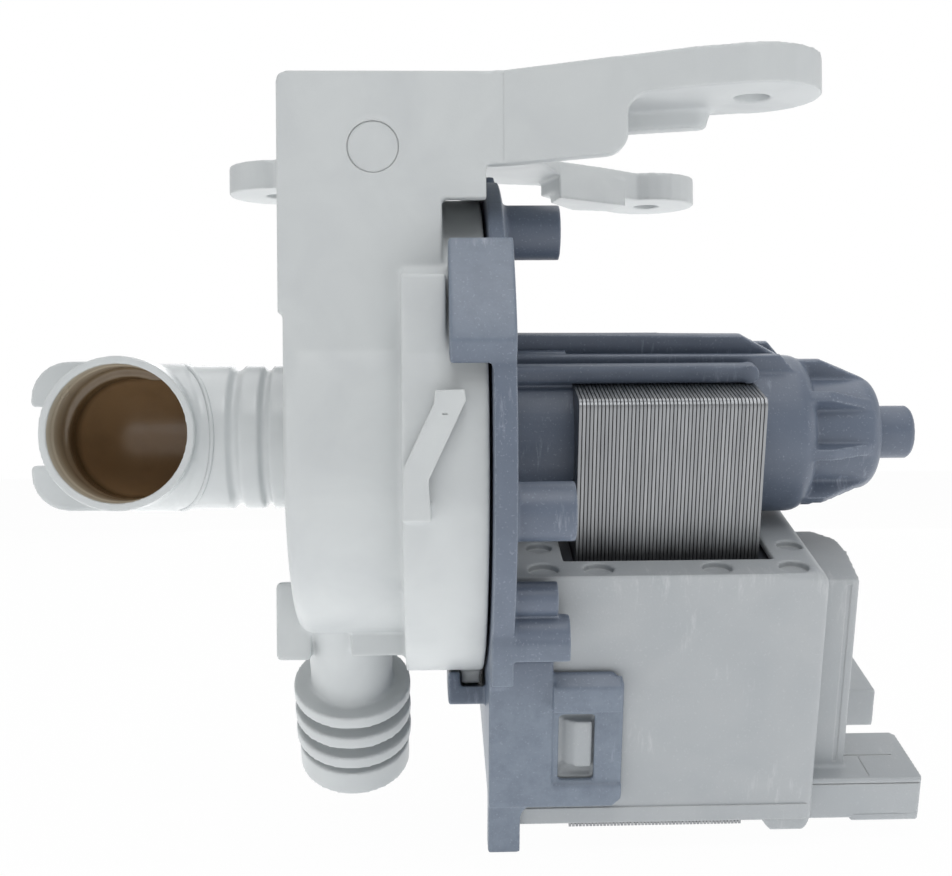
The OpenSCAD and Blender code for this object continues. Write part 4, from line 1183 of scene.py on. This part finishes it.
@dataclass
class CoilCover:
    """The light grey cover over both coils, with its terminal sockets, in the motor's directions."""

    grid_mm: float = 0.36
    most_triangles: int = 180000
    left: float = 5.2
    right: float = 60.0
    half: float = 32.0
    top: float = -15.6
    bottom: float = -63.4
    corner_r: float = 2.3  # of the two upright corners at the right
    corner_reach: float = 2.5  # how far in from the right a box looks for a corner's edge
    edge_room: float = 0.1  # how far a box round an edge reaches past the edge
    edge_half: float = 0.05  # the same, across the side walls
    socket_edge_x: float = 81.5
    socket_sides: tuple[float, float] = (-27.5, -10.5)
    socket_heights: tuple[float, float] = (-67.5, -57.0)
    socket_corner_r: float = 0.9
    dimple_r: float = 2.6
    end_dimple_r: float = 2.3
    dimple_depth: float = 1.2
    dimple_gap: float = 0.05  # the cut is this much wider than the solid's dimple, for a crisp edge
    cut_room: float = 1.0  # how far cutters reach past a face
    edge_dimples: tuple[float, ...] = (10.6, 20.2, 40.8, 54.3)
    end_dimples: tuple[float, ...] = (10.6, 56.0)
    edge_row: float = 28.4
    end_row: float = 18.4
    socket_side_line: Box = ((60.6, -27.9, -59.35), (82.5, -27.25, -59.1))
    socket_top_line: Box = ((68.9, -19.25, -58.45), (78.2, -18.85, -57.9))
    socket_cross_line: Box = ((71.6, -26.6, -58.33), (71.8, -19.6, -57.9))
    riser_line: Box = ((65.7, -23.6, -57.0), (66.5, -23.08, -21.5))
    rim: float = -60.3  # top of the base rim that stands proud of the walls
    proud: float = 0.25
    rim_left: float = 0.4  # from the cover's left end to the rim's
    rim_corner_extra: float = 0.2  # the rim's corners are this much rounder
    rim_wall: float = 1.2
    rim_open: float = 2.0  # how far the room inside the rim reaches past its left end
    foot: Box = ((68.6, -27.5, -67.1), (81.3, -10.7, -65.0))  # pad under the front socket
    foot_edge: float = 0.5

    def build(self) -> None:
        """Builds the cover with its dimples and lines, its rim and pad, and dresses its blades."""
        soft = {self.corner_r: self.corner_boxes(), self.socket_corner_r: self.socket_boxes()}
        cover = soft_moulding("coil_cover", "cover_moulding", self.grid_mm, self.most_triangles, soft)
        carve(cover, self.dimples() + self.lines())
        finished(cover, COVER_PBT, Body.PUMP)
        self.base_rim()
        self.socket_foot()
        dress(TINNED_BRASS, "terminals")

    def corner_boxes(self) -> list[Box]:
        """Gives the boxes round the edges of the two upright corners.

        Returns:
            The boxes.
        """
        boxes = []
        for y in (-self.half, self.half):
            low = (self.right - self.corner_reach, y - self.edge_half, self.bottom - self.edge_room)
            high = (self.right + self.edge_room, y + self.edge_half, self.top + self.edge_room)
            boxes.append((low, high))
        return boxes

    def socket_boxes(self) -> list[Box]:
        """Gives the boxes round the upright edges at the front socket's end.

        Returns:
            The boxes.
        """
        boxes = []
        for y in self.socket_sides:
            low = (self.socket_edge_x - self.edge_room, y - self.edge_half, self.socket_heights[0])
            high = (self.socket_edge_x + self.edge_room, y + self.edge_half, self.socket_heights[1])
            boxes.append((low, high))
        return boxes

    def dimples(self) -> list[bpy.types.Object]:
        """Makes the cutters of the dimples along both edges of the top.

        Returns:
            The cutters.
        """
        cutters = []
        for side in (-1, 1):
            for row, places, radius in (
                (self.edge_row, self.edge_dimples, self.dimple_r),
                (self.end_row, self.end_dimples, self.end_dimple_r),
            ):
                for x in places:
                    low = (x, side * row, self.top - self.dimple_depth)
                    high = (x, side * row, self.top + self.cut_room)
                    cutters.append(rod(low, high, radius + self.dimple_gap))
        return cutters

    def lines(self) -> list[bpy.types.Object]:
        """Makes the cutters of the parting lines on the front socket and the riser.

        Returns:
            The cutters.
        """
        lines = (self.socket_side_line, self.socket_top_line, self.socket_cross_line, self.riser_line)
        return [block(*line) for line in lines]

    def base_rim(self) -> None:
        """Puts a rim round the cover's foot, open towards the casing."""
        outer = self.half + self.proud
        end = self.right + self.proud
        rim = block((self.left + self.rim_left, -outer, self.bottom), (end, outer, self.rim))
        for y in (-outer, outer):
            low = (end - self.edge_room, y - self.edge_room, self.bottom - self.edge_room)
            high = (end + self.edge_room, y + self.edge_room, self.rim + self.edge_room)
            soften_edges(rim, [(low, high)], self.corner_r + self.rim_corner_extra)
        inner = self.half - self.rim_wall
        low = (self.left - self.rim_open, -inner, self.bottom - self.cut_room)
        high = (self.right - self.rim_wall, inner, self.rim + self.cut_room)
        carve(rim, [block(low, high)])
        rim.name = "cover_rim"
        finished(rim, COVER_PBT, Body.PUMP)

    def socket_foot(self) -> None:
        """Puts a pad under the front socket."""
        foot = block(*self.foot, self.foot_edge)
        foot.name = "socket_foot"
        finished(foot, COVER_PBT, Body.PUMP)


# Camera, light, floor and backdrop


@dataclass(frozen=True)
class SoftBox:
    """A square soft lamp: its place in metres, the length of its sides, its power in watts and its aim."""

    name: str
    place: Point
    size: float
    power: float
    target: Point = (0.0, 0.01, AXIS_Z)


@dataclass
class Studio:
    """A white light tent: camera, lamps, floor and backdrop."""

    image_wide: int = 952
    image_high: int = 876
    focal_px: float = 1400
    sensor_mm: float = 36
    near: float = 1 * MM
    far: float = 50
    distance: float = 264 * MM  # from the camera to the rotor's axis
    yaw: float = math.radians(2.1)
    roll: float = math.radians(0.47)
    centre_px: tuple[float, float] = (476, 435.2)  # of the lens, in the picture
    tent_strength: float = 0.33  # of the tent's light on the pump
    paper_colour: str = "#F7F7F7"
    paper_size: float = 6.0
    floor_z: float = -135.6 * MM
    floor_glow: float = 0.975  # share of its own white; the rest is lit and keeps a faint shadow
    backdrop_place: Point = (0, 2.4, 1.5)
    backdrop_glow: float = 1.0
    table_gap: float = 0.1 * MM  # from the floor up to the light table
    lamps: tuple[SoftBox, ...] = (
        SoftBox("top_box", (0.0, 0.05, 0.8), size=0.9, power=3.8),
        SoftBox("front_box", (0.05, -0.5, 0.6), size=0.4, power=2.0),
        SoftBox("back_box", (0.1, 0.8, 0.1), size=0.6, power=1.2),
        SoftBox("left_box", (-0.75, -0.25, -0.02), size=0.5, power=0.7),
        SoftBox("right_box", (0.8, -0.2, -0.02), size=0.5, power=1.0),
    )

    def camera(self) -> None:
        """Puts the camera where the photograph was taken from."""
        ahead = Vector((math.sin(self.yaw), math.cos(self.yaw), 0))
        right = Vector((math.cos(self.yaw), -math.sin(self.yaw), 0))
        up = Vector((0, 0, 1))
        rolled_right = right * math.cos(self.roll) - up * math.sin(self.roll)
        rolled_up = up * math.cos(self.roll) + right * math.sin(self.roll)
        data = bpy.data.cameras.new("camera")
        data.sensor_fit = "HORIZONTAL"
        data.sensor_width = self.sensor_mm
        data.lens = self.focal_px / self.image_wide * data.sensor_width
        data.shift_x = (self.image_wide / 2 - self.centre_px[0]) / self.image_wide
        data.shift_y = -(self.image_high / 2 - self.centre_px[1]) / self.image_wide
        data.clip_start = self.near
        data.clip_end = self.far
        made = bpy.data.objects.new("camera", data)
        bpy.context.scene.collection.objects.link(made)
        place = Vector((0, 0, AXIS_Z)) - ahead * self.distance
        columns = (rolled_right, rolled_up, -ahead)
        directions = Matrix([[column[i] for column in columns] for i in range(3)])
        made.matrix_world = Matrix.Translation(place) @ directions.to_4x4()
        bpy.context.scene.camera = made

    def hang(self, lamp: SoftBox) -> bpy.types.Object:
        """Hangs a lamp and turns it to what it shines on.

        Args:
            lamp: the lamp's own data.

        Returns:
            The lamp in the scene.
        """
        data = bpy.data.lights.new(lamp.name, "AREA")
        data.shape = "SQUARE"
        data.size = lamp.size
        data.energy = lamp.power
        made = bpy.data.objects.new(lamp.name, data)
        bpy.context.scene.collection.objects.link(made)
        made.location = Vector(lamp.place)
        aim = Vector(lamp.target) - made.location
        made.rotation_euler = aim.to_track_quat("-Z", "Y").to_euler()
        return made

    def light_table(self) -> None:
        """Lays a lamp on the paper that brightens what faces down and that the camera doesn't see."""
        place = (0.0, 0.05, self.floor_z + self.table_gap)
        table = self.hang(SoftBox("light_table", place, size=0.8, power=1.2, target=(0.0, 0.05, 0.0)))
        table.visible_camera = False

    def seen(self, tree: bpy.types.NodeTree) -> bpy.types.NodeSocket:
        """Tells where a surface is seen, straight or in metal or glass.

        Args:
            tree: the node tree that asks.

        Returns:
            1 where it is seen and 0 where it only lights.
        """
        path = add_node(tree, "LightPath")
        seen = path.outputs["Is Camera Ray"]
        for ray in ("Is Glossy Ray", "Is Transmission Ray"):
            either = add_node(tree, "Math", {"operation": "MAXIMUM"}, {0: seen, 1: path.outputs[ray]})
            seen = either.outputs[0]
        return seen

    def tent(self) -> None:
        """Makes the world white where it is seen, and a plain soft light where it lights."""
        world = bpy.data.worlds.new("light_tent")
        bpy.context.scene.world = world
        world.use_nodes = True
        tree = world.node_tree
        tree.nodes.clear()
        seen = self.seen(tree)
        cloth = linear("#FFFFFF")
        light = add_node(tree, "Background", {"Color": cloth, "Strength": self.tent_strength})
        white = add_node(tree, "Background", {"Color": cloth, "Strength": 1.0})
        both = add_node(tree, "MixShader", {}, {0: seen, 1: light.outputs[0], 2: white.outputs[0]})
        add_node(tree, "OutputWorld", {}, {"Surface": both.outputs[0]})

    def paper(self, name: str, glow_share: float) -> bpy.types.Material:
        """Makes white card, matt and even, that keeps a part of the shadows that fall on it.

        Args:
            name: the material's name.
            glow_share: how much of its white is its own where it is seen; the lamps light the rest.

        Returns:
            The material.
        """
        made, tree = new_material(name)
        settings = {"operation": "MULTIPLY", "#1": glow_share}
        share = add_node(tree, "Math", settings, {0: self.seen(tree)})
        card = add_node(tree, "BsdfDiffuse", {"Color": linear(self.paper_colour)})
        glow = add_node(tree, "Emission", {"Color": linear("#FFFFFF"), "Strength": 1.0})
        both = add_node(tree, "MixShader", {}, {0: share.outputs[0], 1: card.outputs[0], 2: glow.outputs[0]})
        add_node(tree, "OutputMaterial", {}, {"Surface": both.outputs[0]})
        return made

    def sheet(self, name: str, place: Point, lean: float, glow_share: float) -> None:
        """Lays or stands a sheet of paper that belongs to the studio.

        Args:
            name: the sheet's name.
            place: its middle, in metres.
            lean: how far it is turned up from lying flat.
            glow_share: how much of its white is its own where it is seen.
        """
        bpy.ops.object.select_all(action="DESELECT")
        bpy.ops.mesh.primitive_plane_add(size=self.paper_size, location=place, rotation=(lean, 0, 0))
        plane = bpy.context.object
        plane.name = name
        plane.data.materials.append(self.paper("white_" + name, glow_share))
        plane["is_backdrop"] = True

    def build(self) -> None:
        """Sets up the whole studio."""
        self.camera()
        self.tent()
        self.sheet("floor", (0, 0, self.floor_z), 0.0, self.floor_glow)
        self.sheet("backdrop", self.backdrop_place, math.radians(90), self.backdrop_glow)
        for lamp in self.lamps:
            self.hang(lamp)
        self.light_table()
        bpy.context.scene.view_settings.view_transform = "Standard"


def main() -> None:
    """Builds each sub-assembly in order, then the studio."""
    logging.basicConfig(level=logging.INFO, format="%(name)s: %(message)s")
    for part in (Volute(), Elbow(), Motor(), CoilCover(), Studio()):
        part.build()
        log.info("%s is built", type(part).__name__)
    boxes = {"solids": SOLIDS_BOX, "looks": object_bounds()}
    {name: [list(corner) for corner in box] for name, box in boxes.items()}


if __name__ == "__main__":
    main()
